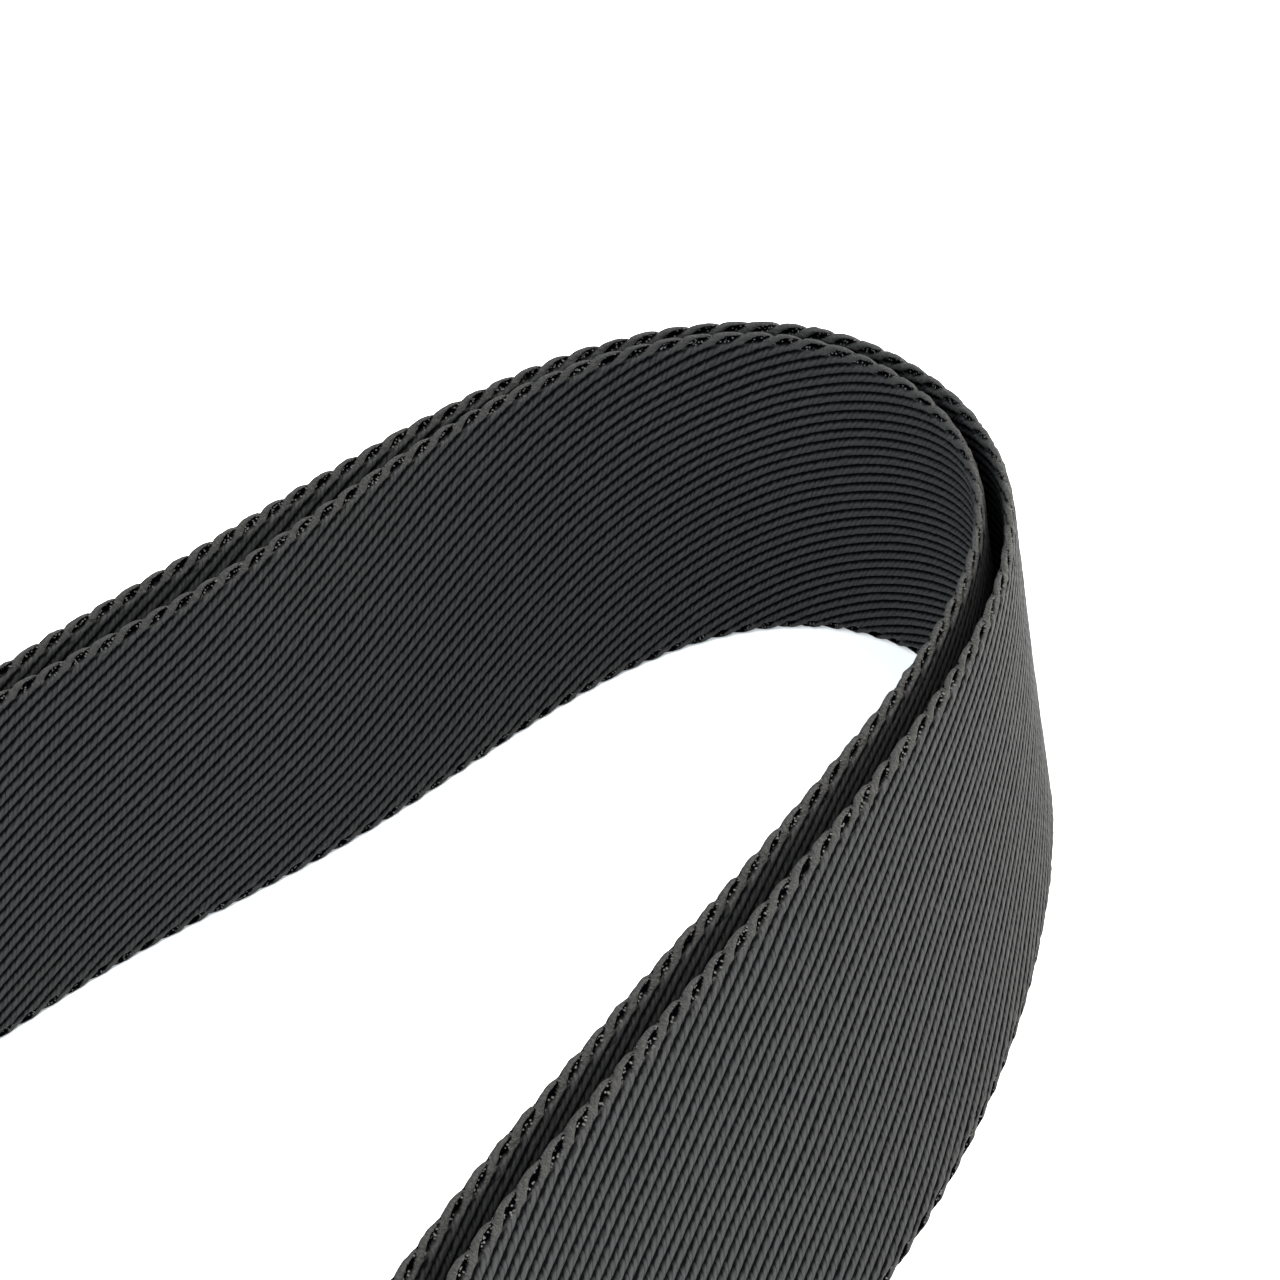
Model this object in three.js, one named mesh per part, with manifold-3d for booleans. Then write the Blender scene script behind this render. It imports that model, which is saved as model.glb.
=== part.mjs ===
// Adjustable guitar strap, standing on the edge of its webbing as a folded U.
//
// One long webbing runs from the front leather end, through a three-bar slider, round a
// rectangular loop and back, and is sewn round the slider's middle bar. A short webbing tab
// joins the loop to the rear leather end. Each leather end has a keyhole for a strap button.
//
// Millimetres, +Z up. The strap is laid out in plan: a route turns right round the fold, and
// its left-hand side is the outside of the fold.

import * as THREE from 'three';
import { mergeVertices } from 'three/addons/utils/BufferGeometryUtils.js';
import Module from 'manifold-3d';

const wasm = await Module();
wasm.setup();

// ---------------------------------------------------------------- driving dimensions

const webbing = { width: 50, thick: 1.6 };
const sewnGap = 0.4;          // between two plies that are sewn face to face
const restGap = 0.35;         // between a ply and the bar that it bears on
const station = 6;            // longest step along the webbing

// The route is the inner face of the inner layer: straight and bent pieces, each a length
// and how far it turns right, in degrees. Distances along it count from the first bend.
const route = {
  start: { x: -100, y: 260, heading: 21 },
  farArm: [140, -7],
  bends: [11, 1, -10, -1, 11, 23, 36, 25, 36, 19, 5, 6, 5, -1, -4],
  bendLength: 20,
  soften: 10,
};
const loopAt = -140;          // where the rectangular loop's near bar stands
const sliderAt = 480;         // where the slider's middle bar stands

// Clear gap between the two layers, at their upper and lower edges, along the route.
const gapTop = [[-140, 4.7], [0, 1], [50, 7.4], [103, 0.7], [154, 0.8], [206, 4.2],
  [257, 3.3], [310, 3.7], [400, 3.2], [480, 3.2]];
const gapBottom = [[-140, 4.7], [0, 4.7], [50, 3.7], [103, 0.8], [180, 0.7], [220, 9.6],
  [270, 13], [310, 9.3], [400, 3.2], [480, 3.2]];
// Lean of the layers from upright, in degrees, outwards at the top.
const lean = [[-140, 0], [40, 8], [120, 13], [180, 2], [240, -9], [300, -7.5], [400, 0],
  [480, 0]];
// The hardware stands a little wider than the webbing, so it lifts the webbing's edge.
const lift = [[-140, 1], [-20, 0], [330, 0], [440, 1], [480, 1]];

const slider = {
  barPitch: 14, barWidth: 4, thick: 3, middleRadius: 1.8, rail: 4, slot: 52, corner: 3.5,
  slotCorner: 1.5,
};
slider.clearance = 1.5;       // room for the frame to tip between the plies
slider.threadRoom = 1.2;      // room for the thread between the sliding ply and the fold
const loop = { wire: 4, opening: 14 };
loop.barPitch = loop.opening + loop.wire;
const hardwareHeight = slider.slot + 2 * slider.rail;
const edgeLift = (hardwareHeight - webbing.width) / 2;

const fold = { overlap: 36, tackNear: 6, tackLength: 24, tackWidth: 38 };
const single = { length: 62, insideLeather: 44 };   // beyond the slider's middle bar
const tab = { free: 26, insideLeather: 44 };        // beyond the loop's far bar
const tabEase = { radius: 20, reach: 12 };          // where its two plies close on each other

const leather = {
  thick: 2, width: 56, length: 116, corner: 5, leastCorner: 1, shoulder: 62, tipRadius: 17,
  easeShoulder: 18, easeTip: 14, rampStart: 50, rampEnd: 62, faceGap: 0.3,
  holeFromTip: 22, holeRadius: 4.5, slitWidth: 1.4, slitLength: 16,
};
const thread = { width: 0.9, thick: 0.5, lie: 0.3, inset: 4 };
const anchorStitch = { from: 8, length: 30, width: 40 };

// How finely round shapes are faceted, and how close two vertices are the same one.
const facets = { wire: 16, ball: 12, curve: 10, corner: 4, belt: 16 };
const weld = 1e-5;

// ---------------------------------------------------------------- materials

function finish(color, roughness, metalness) {
  return new THREE.MeshStandardMaterial({ color, roughness, metalness });
}
const black = {
  webbing: finish(0x2c2d2f, 0.85, 0),
  leather: finish(0x1f1d1c, 0.55, 0),
  backing: finish(0x2a2725, 0.9, 0),
  metal: finish(0x18191a, 0.35, 0.9),
  thread: finish(0x1b1b1d, 0.7, 0),
};

// ---------------------------------------------------------------- small helpers

const radians = THREE.MathUtils.degToRad;
const strap = new THREE.Group();

function addMesh(parent, name, geometry, material) {
  const mesh = new THREE.Mesh(geometry, material);
  mesh.name = name;
  parent.add(mesh);
  return mesh;
}

// Value of a list of [distance, value] knots, straight between them.
function between(knots, s) {
  if (s <= knots[0][0]) return knots[0][1];
  for (let i = 1; i < knots.length; i += 1) {
    const [s0, v0] = knots[i - 1];
    const [s1, v1] = knots[i];
    if (s <= s1) return v0 + (v1 - v0) * (s - s0) / (s1 - s0);
  }
  return knots[knots.length - 1][1];
}

// The same, with its corners rounded over a short stretch.
function softly(knots, s) {
  const reach = [-2, -1, 0, 1, 2].map((k) => between(knots, s + k * route.soften));
  return reach.reduce((sum, v) => sum + v, 0) / reach.length;
}

// ---------------------------------------------------------------- the route in plan

// Curvature along the bends, as knots at the middle of each bend.
const curvature = route.bends.map((turn, i) => [
  (i + 0.5) * route.bendLength, radians(turn) / route.bendLength,
]);
curvature.unshift([0, radians(route.farArm[1]) / route.farArm[0]]);
curvature.push([route.bends.length * route.bendLength, 0]);

// Plan position and heading at every millimetre, walked both ways from the start.
const plan = new Map();
function walk(step, end) {
  let { x, y } = route.start;
  let heading = radians(route.start.heading);
  plan.set(0, { x, y, heading });
  for (let s = step; Math.abs(s) <= Math.abs(end); s += step) {
    const turn = between(curvature, s - step / 2) * step;
    x += step * Math.cos(heading - turn / 2);
    y += step * Math.sin(heading - turn / 2);
    heading -= turn;
    plan.set(s, { x, y, heading });
  }
}
walk(-1, loopAt - 1);
walk(1, sliderAt + 1);

function onRoute(s) {
  const low = Math.floor(s);
  const a = plan.get(low);
  const b = plan.get(low + 1) ?? a;
  const f = s - low;
  return {
    x: a.x + (b.x - a.x) * f,
    y: a.y + (b.y - a.y) * f,
    heading: a.heading + (b.heading - a.heading) * f,
  };
}

// A frame standing at a place on the route: x along it, y to its left, z up.
function frameAt(s, offset, turnedBack) {
  const at = onRoute(s);
  const frame = new THREE.Group();
  frame.position.set(
    at.x - offset * Math.sin(at.heading), at.y + offset * Math.cos(at.heading), 0,
  );
  frame.rotation.z = at.heading + (turnedBack ? Math.PI : 0);
  frame.updateMatrixWorld();
  strap.add(frame);
  return frame;
}

// ---------------------------------------------------------------- belts round bars

// A path that passes round bars as a belt passes round pulleys. Each stop is [x, y, radius,
// side], where side is 1 with the bar on the left, -1 with it on the right and 0 at an end.
function belt(stops) {
  const lines = [];
  for (let i = 1; i < stops.length; i += 1) {
    const [x0, y0, r0, side0] = stops[i - 1];
    const [x1, y1, r1, side1] = stops[i];
    const away = Math.atan2(y1 - y0, x1 - x0);
    const reach = Math.hypot(x1 - x0, y1 - y0);
    lines.push(away + Math.acos((r1 * side1 - r0 * side0) / reach) - Math.PI / 2);
  }
  const points = [[stops[0][0], stops[0][1]]];
  for (let i = 1; i < stops.length - 1; i += 1) {
    const [x, y, r, side] = stops[i];
    const full = 2 * Math.PI;
    let sweep = (((lines[i] - lines[i - 1]) * side) % full + full) % full;
    if (sweep > full - 1e-6) sweep = 0;
    const count = Math.max(1, Math.ceil(sweep / radians(facets.belt)));
    for (let k = 0; k <= count; k += 1) {
      const heading = lines[i - 1] + side * sweep * k / count;
      points.push([x + r * side * Math.sin(heading), y - r * side * Math.cos(heading)]);
    }
  }
  const last = stops[stops.length - 1];
  points.push([last[0], last[1]]);
  return points;
}

// The same path with no step longer than the limit.
function filled(points, longest) {
  const out = [points[0]];
  for (let i = 1; i < points.length; i += 1) {
    const [x0, y0] = points[i - 1];
    const [x1, y1] = points[i];
    const count = Math.max(1, Math.ceil(Math.hypot(x1 - x0, y1 - y0) / longest));
    for (let k = 1; k <= count; k += 1) {
      out.push([x0 + (x1 - x0) * k / count, y0 + (y1 - y0) * k / count]);
    }
  }
  return out;
}

// ---------------------------------------------------------------- webbing

// Stations of a ply in plan: where its lower and upper edges stand, and its lift.
function plyInFrame(points, frame) {
  return points.map(([x, y]) => {
    const at = new THREE.Vector3(x, y, 0).applyMatrix4(frame.matrixWorld);
    return { low: [at.x, at.y], high: [at.x, at.y], z: edgeLift };
  });
}

// One layer along the route: its middle stands at an offset to the left of the route.
function layer(from, to, offsetLow, offsetHigh) {
  const count = Math.ceil(Math.abs(to - from) / station);
  const stations = [];
  for (let i = 0; i <= count; i += 1) {
    const s = from + (to - from) * i / count;
    const { x, y, heading } = onRoute(s);
    const shift = webbing.width * Math.sin(radians(softly(lean, s)));
    const place = (d) => [x - d * Math.sin(heading), y + d * Math.cos(heading)];
    stations.push({
      low: place(offsetLow(s)),
      high: place(offsetHigh(s) + shift),
      z: edgeLift * softly(lift, s),
    });
  }
  return stations;
}

// Unit normals to the left of a run of plan points.
function leftNormals(points) {
  return points.map((point, i) => {
    const before = points[Math.max(0, i - 1)];
    const after = points[Math.min(points.length - 1, i + 1)];
    const dx = after[0] - before[0];
    const dy = after[1] - before[1];
    const size = Math.hypot(dx, dy);
    return [-dy / size, dx / size];
  });
}

// A flat webbing bent along its stations: a long box whose cross-sections are moved.
function webbingGeometry(stations) {
  const low = stations.map((q) => q.low);
  const high = stations.map((q) => q.high);
  const lowNormal = leftNormals(low);
  const highNormal = leftNormals(high);
  const last = stations.length - 1;
  const geometry = new THREE.BoxGeometry(1, 1, 1, last, 1, 1);
  const position = geometry.attributes.position;
  for (let i = 0; i < position.count; i += 1) {
    const k = Math.round((position.getX(i) + 0.5) * last);
    const side = position.getY(i) * webbing.thick;
    const isHigh = position.getZ(i) > 0;
    const at = isHigh ? high[k] : low[k];
    const normal = isHigh ? highNormal[k] : lowNormal[k];
    const z = stations[k].z + (isHigh ? webbing.width : 0);
    position.setXYZ(i, at[0] + side * normal[0], at[1] + side * normal[1], z);
  }
  return geometry;
}

const half = webbing.thick / 2;
const bear = half + restGap;
const innerMiddle = () => half;
const outerLow = (s) => 1.5 * webbing.thick + softly(gapBottom, s);
const outerHigh = (s) => 1.5 * webbing.thick + softly(gapTop, s);

// Radii of the plies round the slider's bars, measured to the middle of the ply.
const barReach = Math.hypot(slider.barWidth, slider.thick) / 2;
const round = { wrap: slider.middleRadius + bear };
round.sliding = barReach + slider.clearance + half;
round.returning = round.sliding + webbing.thick + slider.threadRoom;
round.main = round.returning + webbing.thick + sewnGap;
round.over = round.wrap + webbing.thick + sewnGap;
const foldReach = slider.barPitch + fold.overlap;

const sliderFrame = frameAt(sliderAt, round.main + half, false);
const singleEnd = single.length + single.insideLeather;
const slidingPly = filled(belt([
  [singleEnd, -round.sliding, 0, 0],
  [slider.barPitch, 0, round.sliding, -1],
  [0, 0, round.over, 1],
  [-slider.barPitch, 0, round.sliding, -1],
  [-foldReach, -round.sliding, 0, 0],
]), station);
const foldedPly = filled(belt([
  [-foldReach, -round.main, 0, 0],
  [-slider.barPitch, 0, round.main, 1],
  [0, 0, round.wrap, 1],
  [-slider.barPitch, 0, round.returning, -1],
  [-foldReach, -round.returning, 0, 0],
]), station);

// The loop's frame points away from the fold; its near bar holds the main webbing.
const loopGap = gapTop[0][1];
const loopFrame = frameAt(loopAt, webbing.thick + loopGap / 2, true);
const loopWrap = (loopGap + webbing.thick) / 2;
const loopPly = belt([
  [-station, -loopWrap, 0, 0],
  [0, 0, loopWrap, 1],
  [-station, loopWrap, 0, 0],
]);

const layersFrom = loopAt + 2 * station;
const layersTo = sliderAt - foldReach - station;
const mainStations = [
  ...plyInFrame(slidingPly, sliderFrame),
  ...layer(layersTo, layersFrom, outerLow, outerHigh),
  ...plyInFrame(loopPly, loopFrame),
  ...layer(layersFrom, layersTo, innerMiddle, innerMiddle),
  ...plyInFrame(foldedPly, sliderFrame),
];
addMesh(strap, 'main_webbing', webbingGeometry(mainStations), black.webbing);

// ---------------------------------------------------------------- solids and cuts

function toManifold(geometry) {
  const bare = geometry.clone();
  bare.deleteAttribute('normal');
  bare.deleteAttribute('uv');
  const merged = mergeVertices(bare, weld);
  return new wasm.Manifold(new wasm.Mesh({
    numProp: 3,
    vertProperties: new Float32Array(merged.attributes.position.array),
    triVerts: new Uint32Array(merged.index.array),
  }));
}

function toGeometry(solid) {
  const mesh = solid.getMesh();
  const geometry = new THREE.BufferGeometry();
  geometry.setAttribute('position', new THREE.BufferAttribute(mesh.vertProperties, 3));
  geometry.setIndex(new THREE.BufferAttribute(mesh.triVerts, 1));
  geometry.computeVertexNormals();
  return geometry;
}

function shapeOf(points) {
  return new THREE.Shape(points.map(([x, y]) => new THREE.Vector2(x, y)));
}

// A plan or side shape made solid, with no bevel.
function extruded(shape, depth, curveSegments = facets.curve) {
  return new THREE.ExtrudeGeometry(shape, { depth, bevelEnabled: false, curveSegments });
}

// A rectangle with rounded corners, x along and y across.
function roundedRect(x0, y0, x1, y1, r) {
  const shape = new THREE.Shape();
  shape.moveTo(x0 + r, y0);
  shape.lineTo(x1 - r, y0);
  shape.absarc(x1 - r, y0 + r, r, -Math.PI / 2, 0, false);
  shape.lineTo(x1, y1 - r);
  shape.absarc(x1 - r, y1 - r, r, 0, Math.PI / 2, false);
  shape.lineTo(x0 + r, y1);
  shape.absarc(x0 + r, y1 - r, r, Math.PI / 2, Math.PI, false);
  shape.lineTo(x0, y0 + r);
  shape.absarc(x0 + r, y0 + r, r, Math.PI, 1.5 * Math.PI, false);
  return shape;
}

// ---------------------------------------------------------------- slider

function makeSlider() {
  const reach = slider.barPitch + slider.barWidth / 2;
  const inner = slider.barPitch - slider.barWidth / 2;
  const plate = roundedRect(-reach, 0, reach, hardwareHeight, slider.corner);
  const slotTop = slider.rail + slider.slot;
  plate.holes.push(roundedRect(-inner, slider.rail, inner, slotTop, slider.slotCorner));
  const frame = extruded(plate, slider.thick, facets.corner);
  frame.translate(0, 0, -slider.thick / 2);
  frame.rotateX(Math.PI / 2);
  const bar = new THREE.CylinderGeometry(
    slider.middleRadius, slider.middleRadius, slider.slot + slider.rail, facets.wire,
  );
  bar.rotateX(Math.PI / 2);
  bar.translate(0, 0, hardwareHeight / 2);
  return toGeometry(toManifold(frame).add(toManifold(bar)));
}
addMesh(sliderFrame, 'slider_frame', makeSlider(), black.metal);

// Thread sewn as a box with a cross in it: the outline of one closed body.
function crossedBox(x0, y0, x1, y1) {
  const w = thread.width;
  const box = shapeOf([[x0, y0], [x1, y0], [x1, y1], [x0, y1]]);
  const cx = (x0 + x1) / 2;
  const cy = (y0 + y1) / 2;
  const length = x1 - x0 - 2 * w;
  const height = y1 - y0 - 2 * w;
  const diagonal = Math.hypot(length, height);
  const alongX = (w / 2) * diagonal / height;
  const alongY = (w / 2) * diagonal / length;
  const hole = (points) => {
    box.holes.push(new THREE.Path(points.map(([x, y]) => new THREE.Vector2(x, y))));
  };
  hole([[x0 + w + alongX, y0 + w], [cx, cy - alongY], [x1 - w - alongX, y0 + w]]);
  hole([[x0 + w + alongX, y1 - w], [x1 - w - alongX, y1 - w], [cx, cy + alongY]]);
  hole([[x0 + w, y0 + w + alongY], [x0 + w, y1 - w - alongY], [cx - alongX, cy]]);
  hole([[x1 - w, y0 + w + alongY], [cx + alongX, cy], [x1 - w, y1 - w - alongY]]);
  return box;
}

// A flat pattern in the x-z plane, given a thickness along y, from y upwards.
function standing(shape, y, thick) {
  const geometry = extruded(shape, thick);
  geometry.rotateX(Math.PI / 2);
  geometry.translate(0, y + thick, 0);
  return geometry;
}

// The fold round the middle bar is sewn shut: one thread on each face of the two plies.
function makeFoldThread(y) {
  const x1 = -slider.barPitch - fold.tackNear;
  const z0 = (hardwareHeight - fold.tackWidth) / 2;
  return standing(crossedBox(x1 - fold.tackLength, z0, x1, z0 + fold.tackWidth), y, thread.thick);
}
const foldFace = -round.returning + half + thread.lie;
const foldBack = -round.main - half - thread.lie - thread.thick;
addMesh(sliderFrame, 'fold_bobbin_thread', makeFoldThread(foldFace), black.thread);
addMesh(sliderFrame, 'fold_needle_thread', makeFoldThread(foldBack), black.thread);

// ---------------------------------------------------------------- loop and tab

// Round wire bent to a rectangle: two long bars along z and two short ones along x.
function makeLoop() {
  const r = loop.wire / 2;
  const low = r;
  const high = hardwareHeight - r;
  const corners = [[0, low], [loop.barPitch, low], [loop.barPitch, high], [0, high]];
  let solid = null;
  corners.forEach(([x0, z0], i) => {
    const [x1, z1] = corners[(i + 1) % corners.length];
    const bar = new THREE.CylinderGeometry(r, r, Math.hypot(x1 - x0, z1 - z0), facets.wire);
    if (z0 === z1) bar.rotateZ(Math.PI / 2);
    else bar.rotateX(Math.PI / 2);
    bar.translate((x0 + x1) / 2, 0, (z0 + z1) / 2);
    const corner = new THREE.SphereGeometry(r, facets.wire, facets.ball);
    corner.translate(x0, 0, z0);
    const joined = toManifold(bar).add(toManifold(corner));
    solid = solid ? solid.add(joined) : joined;
  });
  return toGeometry(solid);
}
addMesh(loopFrame, 'rectangular_loop', makeLoop(), black.metal);

// The tab goes round the loop's far bar and back, and both plies run into the rear end.
const tabWrap = loop.wire / 2 + bear;
const tabPly = half + sewnGap / 2;
const tabEnd = loop.barPitch + tab.free + tab.insideLeather;
const tabPath = filled(belt([
  [tabEnd, -tabPly, 0, 0],
  [loop.barPitch + tabEase.reach, -tabPly - tabEase.radius, tabEase.radius, 1],
  [loop.barPitch, 0, tabWrap, -1],
  [loop.barPitch + tabEase.reach, tabPly + tabEase.radius, tabEase.radius, 1],
  [tabEnd, tabPly, 0, 0],
]), station);
addMesh(strap, 'tab_webbing', webbingGeometry(plyInFrame(tabPath, loopFrame)), black.webbing);

// ---------------------------------------------------------------- leather ends

// Outline of a leather end, x from its square edge to its tip, y across, drawn inset.
function leatherOutline(inset) {
  const h = leather.width / 2 - inset;
  const tip = leather.tipRadius - inset;
  const tipAt = leather.length - leather.tipRadius;
  const corner = Math.max(leather.leastCorner, leather.corner - inset);
  const { shoulder, easeShoulder, easeTip } = leather;
  const shape = new THREE.Shape();
  shape.moveTo(inset + corner, -h);
  shape.lineTo(shoulder, -h);
  shape.bezierCurveTo(shoulder + easeShoulder, -h, tipAt - easeTip, -tip, tipAt, -tip);
  shape.absarc(tipAt, 0, tip, -Math.PI / 2, Math.PI / 2, false);
  shape.bezierCurveTo(tipAt - easeTip, tip, shoulder + easeShoulder, h, shoulder, h);
  shape.lineTo(inset + corner, h);
  shape.absarc(inset + corner, h - corner, corner, Math.PI / 2, Math.PI, false);
  shape.lineTo(inset, -h + corner);
  shape.absarc(inset + corner, -h + corner, corner, Math.PI, 1.5 * Math.PI, false);
  return shape;
}

// Keyhole for a strap button: a round hole with a slit towards the strap's middle.
function keyhole() {
  const x = leather.length - leather.holeFromTip;
  const w = leather.slitWidth / 2;
  const open = Math.asin(w / leather.holeRadius);
  const end = x - leather.holeRadius - leather.slitLength;
  const path = new THREE.Path();
  path.moveTo(end, -w);
  path.absarc(x, 0, leather.holeRadius, -Math.PI + open, Math.PI - open, false);
  path.lineTo(end, w);
  path.lineTo(end, -w);
  return path;
}

// Distance of a leather layer's middle from the webbing's middle: it lies over the webbing,
// then closes on the other layer.
function leatherSpread(stack) {
  const over = stack / 2 + leather.faceGap + leather.thick / 2;
  const closed = (leather.faceGap + leather.thick) / 2;
  return [[0, over], [leather.rampStart, over], [leather.rampEnd, closed],
    [leather.length, closed]];
}

// A sheet bent to a profile in plan and cut to an outline seen from its face.
function cutSheet(profile, thick, outline, middle) {
  const left = profile.map(([x, y]) => [x, y + thick / 2]);
  const right = profile.map(([x, y]) => [x, y - thick / 2]);
  const sheet = extruded(shapeOf([...right, ...left.reverse()]), hardwareHeight);
  const punch = extruded(outline, hardwareHeight);
  punch.rotateX(Math.PI / 2);
  punch.translate(0, middle + hardwareHeight / 2, hardwareHeight / 2);
  return toManifold(sheet).intersect(toManifold(punch));
}

// One leather end: two layers round the webbing, each sewn with a border and a crossed box.
function addLeatherEnd(frame, name, from, middle, stack, outwards) {
  const spread = leatherSpread(stack);
  const faces = [
    { side: outwards, layer: 'outer', threadName: 'needle', material: black.leather },
    { side: -outwards, layer: 'backing', threadName: 'bobbin', material: black.backing },
  ];
  faces.forEach(({ side, layer: layerName, threadName, material }) => {
    const profileAt = (extra) => spread.map(([x, d]) => [x, middle + side * (d + extra)]);
    const put = (part, solid, finishOf) => {
      const geometry = toGeometry(solid.translate([from, 0, 0]));
      addMesh(frame, `${name}_${part}`, geometry, finishOf);
    };
    const outline = leatherOutline(0);
    outline.holes.push(keyhole());
    put(`leather_${layerName}`, cutSheet(profileAt(0), leather.thick, outline, middle), material);

    const threadAt = profileAt(leather.thick / 2 + thread.lie + thread.thick / 2);
    const border = leatherOutline(thread.inset);
    border.holes.push(new THREE.Path(
      leatherOutline(thread.inset + thread.width).getPoints(facets.curve),
    ));
    put(`border_${threadName}_thread`, cutSheet(threadAt, thread.thick, border, middle),
      black.thread);

    const { from: x0, length, width } = anchorStitch;
    const box = crossedBox(x0, -width / 2, x0 + length, width / 2);
    put(`anchor_${threadName}_thread`, cutSheet(threadAt, thread.thick, box, middle),
      black.thread);
  });
}
addLeatherEnd(sliderFrame, 'front', single.length, -round.sliding, webbing.thick, 1);
addLeatherEnd(loopFrame, 'rear', loop.barPitch + tab.free, 0,
  2 * webbing.thick + sewnGap, -1);

// ---------------------------------------------------------------- place on the ground

// The slider's arm lies along X, its outer face towards -Y, and the frame's origin is the
// middle of the box's base.
strap.rotation.z = -Math.PI - onRoute(sliderAt).heading;
strap.updateMatrixWorld(true);
const bounds = new THREE.Box3().setFromObject(strap, true);
const centre = bounds.getCenter(new THREE.Vector3());
strap.position.set(-centre.x, -centre.y, -bounds.min.z);

export default strap;
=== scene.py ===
import math
from contextlib import contextmanager

import bmesh
import bpy
import numpy as np
from mathutils import Matrix, Vector


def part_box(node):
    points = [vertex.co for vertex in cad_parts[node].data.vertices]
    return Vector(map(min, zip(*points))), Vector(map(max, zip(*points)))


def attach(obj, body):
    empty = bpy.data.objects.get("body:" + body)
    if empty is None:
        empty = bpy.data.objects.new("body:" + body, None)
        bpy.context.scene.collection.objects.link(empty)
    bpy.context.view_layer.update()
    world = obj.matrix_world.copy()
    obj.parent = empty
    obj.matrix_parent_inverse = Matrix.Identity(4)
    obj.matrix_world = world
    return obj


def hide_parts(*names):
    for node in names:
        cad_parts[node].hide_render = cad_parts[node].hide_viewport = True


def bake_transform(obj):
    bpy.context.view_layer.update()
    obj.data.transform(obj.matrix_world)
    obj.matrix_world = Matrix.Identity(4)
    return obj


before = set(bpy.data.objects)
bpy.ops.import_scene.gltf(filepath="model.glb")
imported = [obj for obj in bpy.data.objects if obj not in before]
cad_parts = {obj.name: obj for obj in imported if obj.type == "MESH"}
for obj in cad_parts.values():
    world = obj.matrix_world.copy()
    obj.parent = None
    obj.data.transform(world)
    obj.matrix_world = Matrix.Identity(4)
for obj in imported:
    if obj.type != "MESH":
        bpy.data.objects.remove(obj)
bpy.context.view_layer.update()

MM = 0.001
RNG = np.random.default_rng(74)

# ---- dimensions of the CAD, in mm

WIDTH = 50.0
THICK = 1.6
SEWN_GAP = 0.4
REST_GAP = 0.35
ROUTE_START = (-100.0, 260.0, 21.0)
FAR_ARM = (140.0, -7.0)
BENDS = [11, 1, -10, -1, 11, 23, 36, 25, 36, 19, 5, 6, 5, -1, -4]
BEND_LENGTH = 20.0
SOFTEN = 10.0
LOOP_AT = -140
SLIDER_AT = 480
GAP_TOP = [(-140, 4.7), (0, 1), (50, 7.4), (103, 0.7), (154, 0.8), (206, 4.2),
           (257, 3.3), (310, 3.7), (400, 3.2), (480, 3.2)]
GAP_BOTTOM = [(-140, 4.7), (0, 4.7), (50, 3.7), (103, 0.8), (180, 0.7), (220, 9.6),
              (270, 13), (310, 9.3), (400, 3.2), (480, 3.2)]
LEAN = [(-140, 0), (40, 8), (120, 13), (180, 2), (240, -9), (300, -7.5), (400, 0), (480, 0)]
LIFT = [(-140, 1), (-20, 0), (330, 0), (440, 1), (480, 1)]
HARDWARE = 60.0
EDGE_LIFT = 5.0
BAR_PITCH = 14.0
BAR_WIDTH = 4.0
PLATE_THICK = 3.0
MIDDLE_RADIUS = 1.8
CLEARANCE = 1.5
THREAD_ROOM = 1.2
RAIL = 4.0
WIRE = 4.0
LOOP_PITCH = 18.0
FOLD_OVERLAP = 36.0
SINGLE = 62.0
INSIDE_LEATHER = 44.0
TAB_FREE = 26.0

HALF = THICK / 2
BEAR = HALF + REST_GAP
R_SLIDING = math.hypot(BAR_WIDTH, PLATE_THICK) / 2 + CLEARANCE + HALF
R_RETURNING = R_SLIDING + THICK + THREAD_ROOM
R_MAIN = R_RETURNING + THICK + SEWN_GAP
R_WRAP = MIDDLE_RADIUS + BEAR
R_OVER = R_WRAP + THICK + SEWN_GAP
FOLD_REACH = BAR_PITCH + FOLD_OVERLAP

# ---- the route in plan


def between(knots, s):
    return np.interp(s, [k[0] for k in knots], [k[1] for k in knots])


def softly(knots, s):
    return sum(between(knots, np.asarray(s) + k * SOFTEN) for k in range(-2, 3)) / 5


def walk_route():
    knots = [(0, math.radians(FAR_ARM[1]) / FAR_ARM[0])]
    knots += [((i + 0.5) * BEND_LENGTH, math.radians(t) / BEND_LENGTH)
              for i, t in enumerate(BENDS)]
    knots.append((len(BENDS) * BEND_LENGTH, 0.0))
    rows = {0: (ROUTE_START[0], ROUTE_START[1], math.radians(ROUTE_START[2]))}
    for step, end in ((-1, LOOP_AT - 1), (1, SLIDER_AT + 1)):
        x, y, heading = rows[0]
        s = step
        while abs(s) <= abs(end):
            turn = float(between(knots, s - step / 2)) * step
            x += step * math.cos(heading - turn / 2)
            y += step * math.sin(heading - turn / 2)
            heading -= turn
            rows[s] = (x, y, heading)
            s += step
    order = sorted(rows)
    return np.array(order, float), np.array([rows[s] for s in order])


ROUTE_S, ROUTE = walk_route()


def on_route(s):
    return [np.interp(s, ROUTE_S, ROUTE[:, i]) for i in range(3)]


class Place:
    """A frame standing on the route: x along it, y to its left, z up."""

    def __init__(self, s, offset, turned_back):
        x, y, heading = on_route(s)
        self.x = float(x - offset * math.sin(heading))
        self.y = float(y + offset * math.cos(heading))
        self.turn = float(heading) + (math.pi if turned_back else 0.0)

    def plan(self, points):
        p = np.asarray(points, float)
        c, s = math.cos(self.turn), math.sin(self.turn)
        return np.stack([self.x + c * p[:, 0] - s * p[:, 1],
                         self.y + s * p[:, 0] + c * p[:, 1]], 1)


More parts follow.
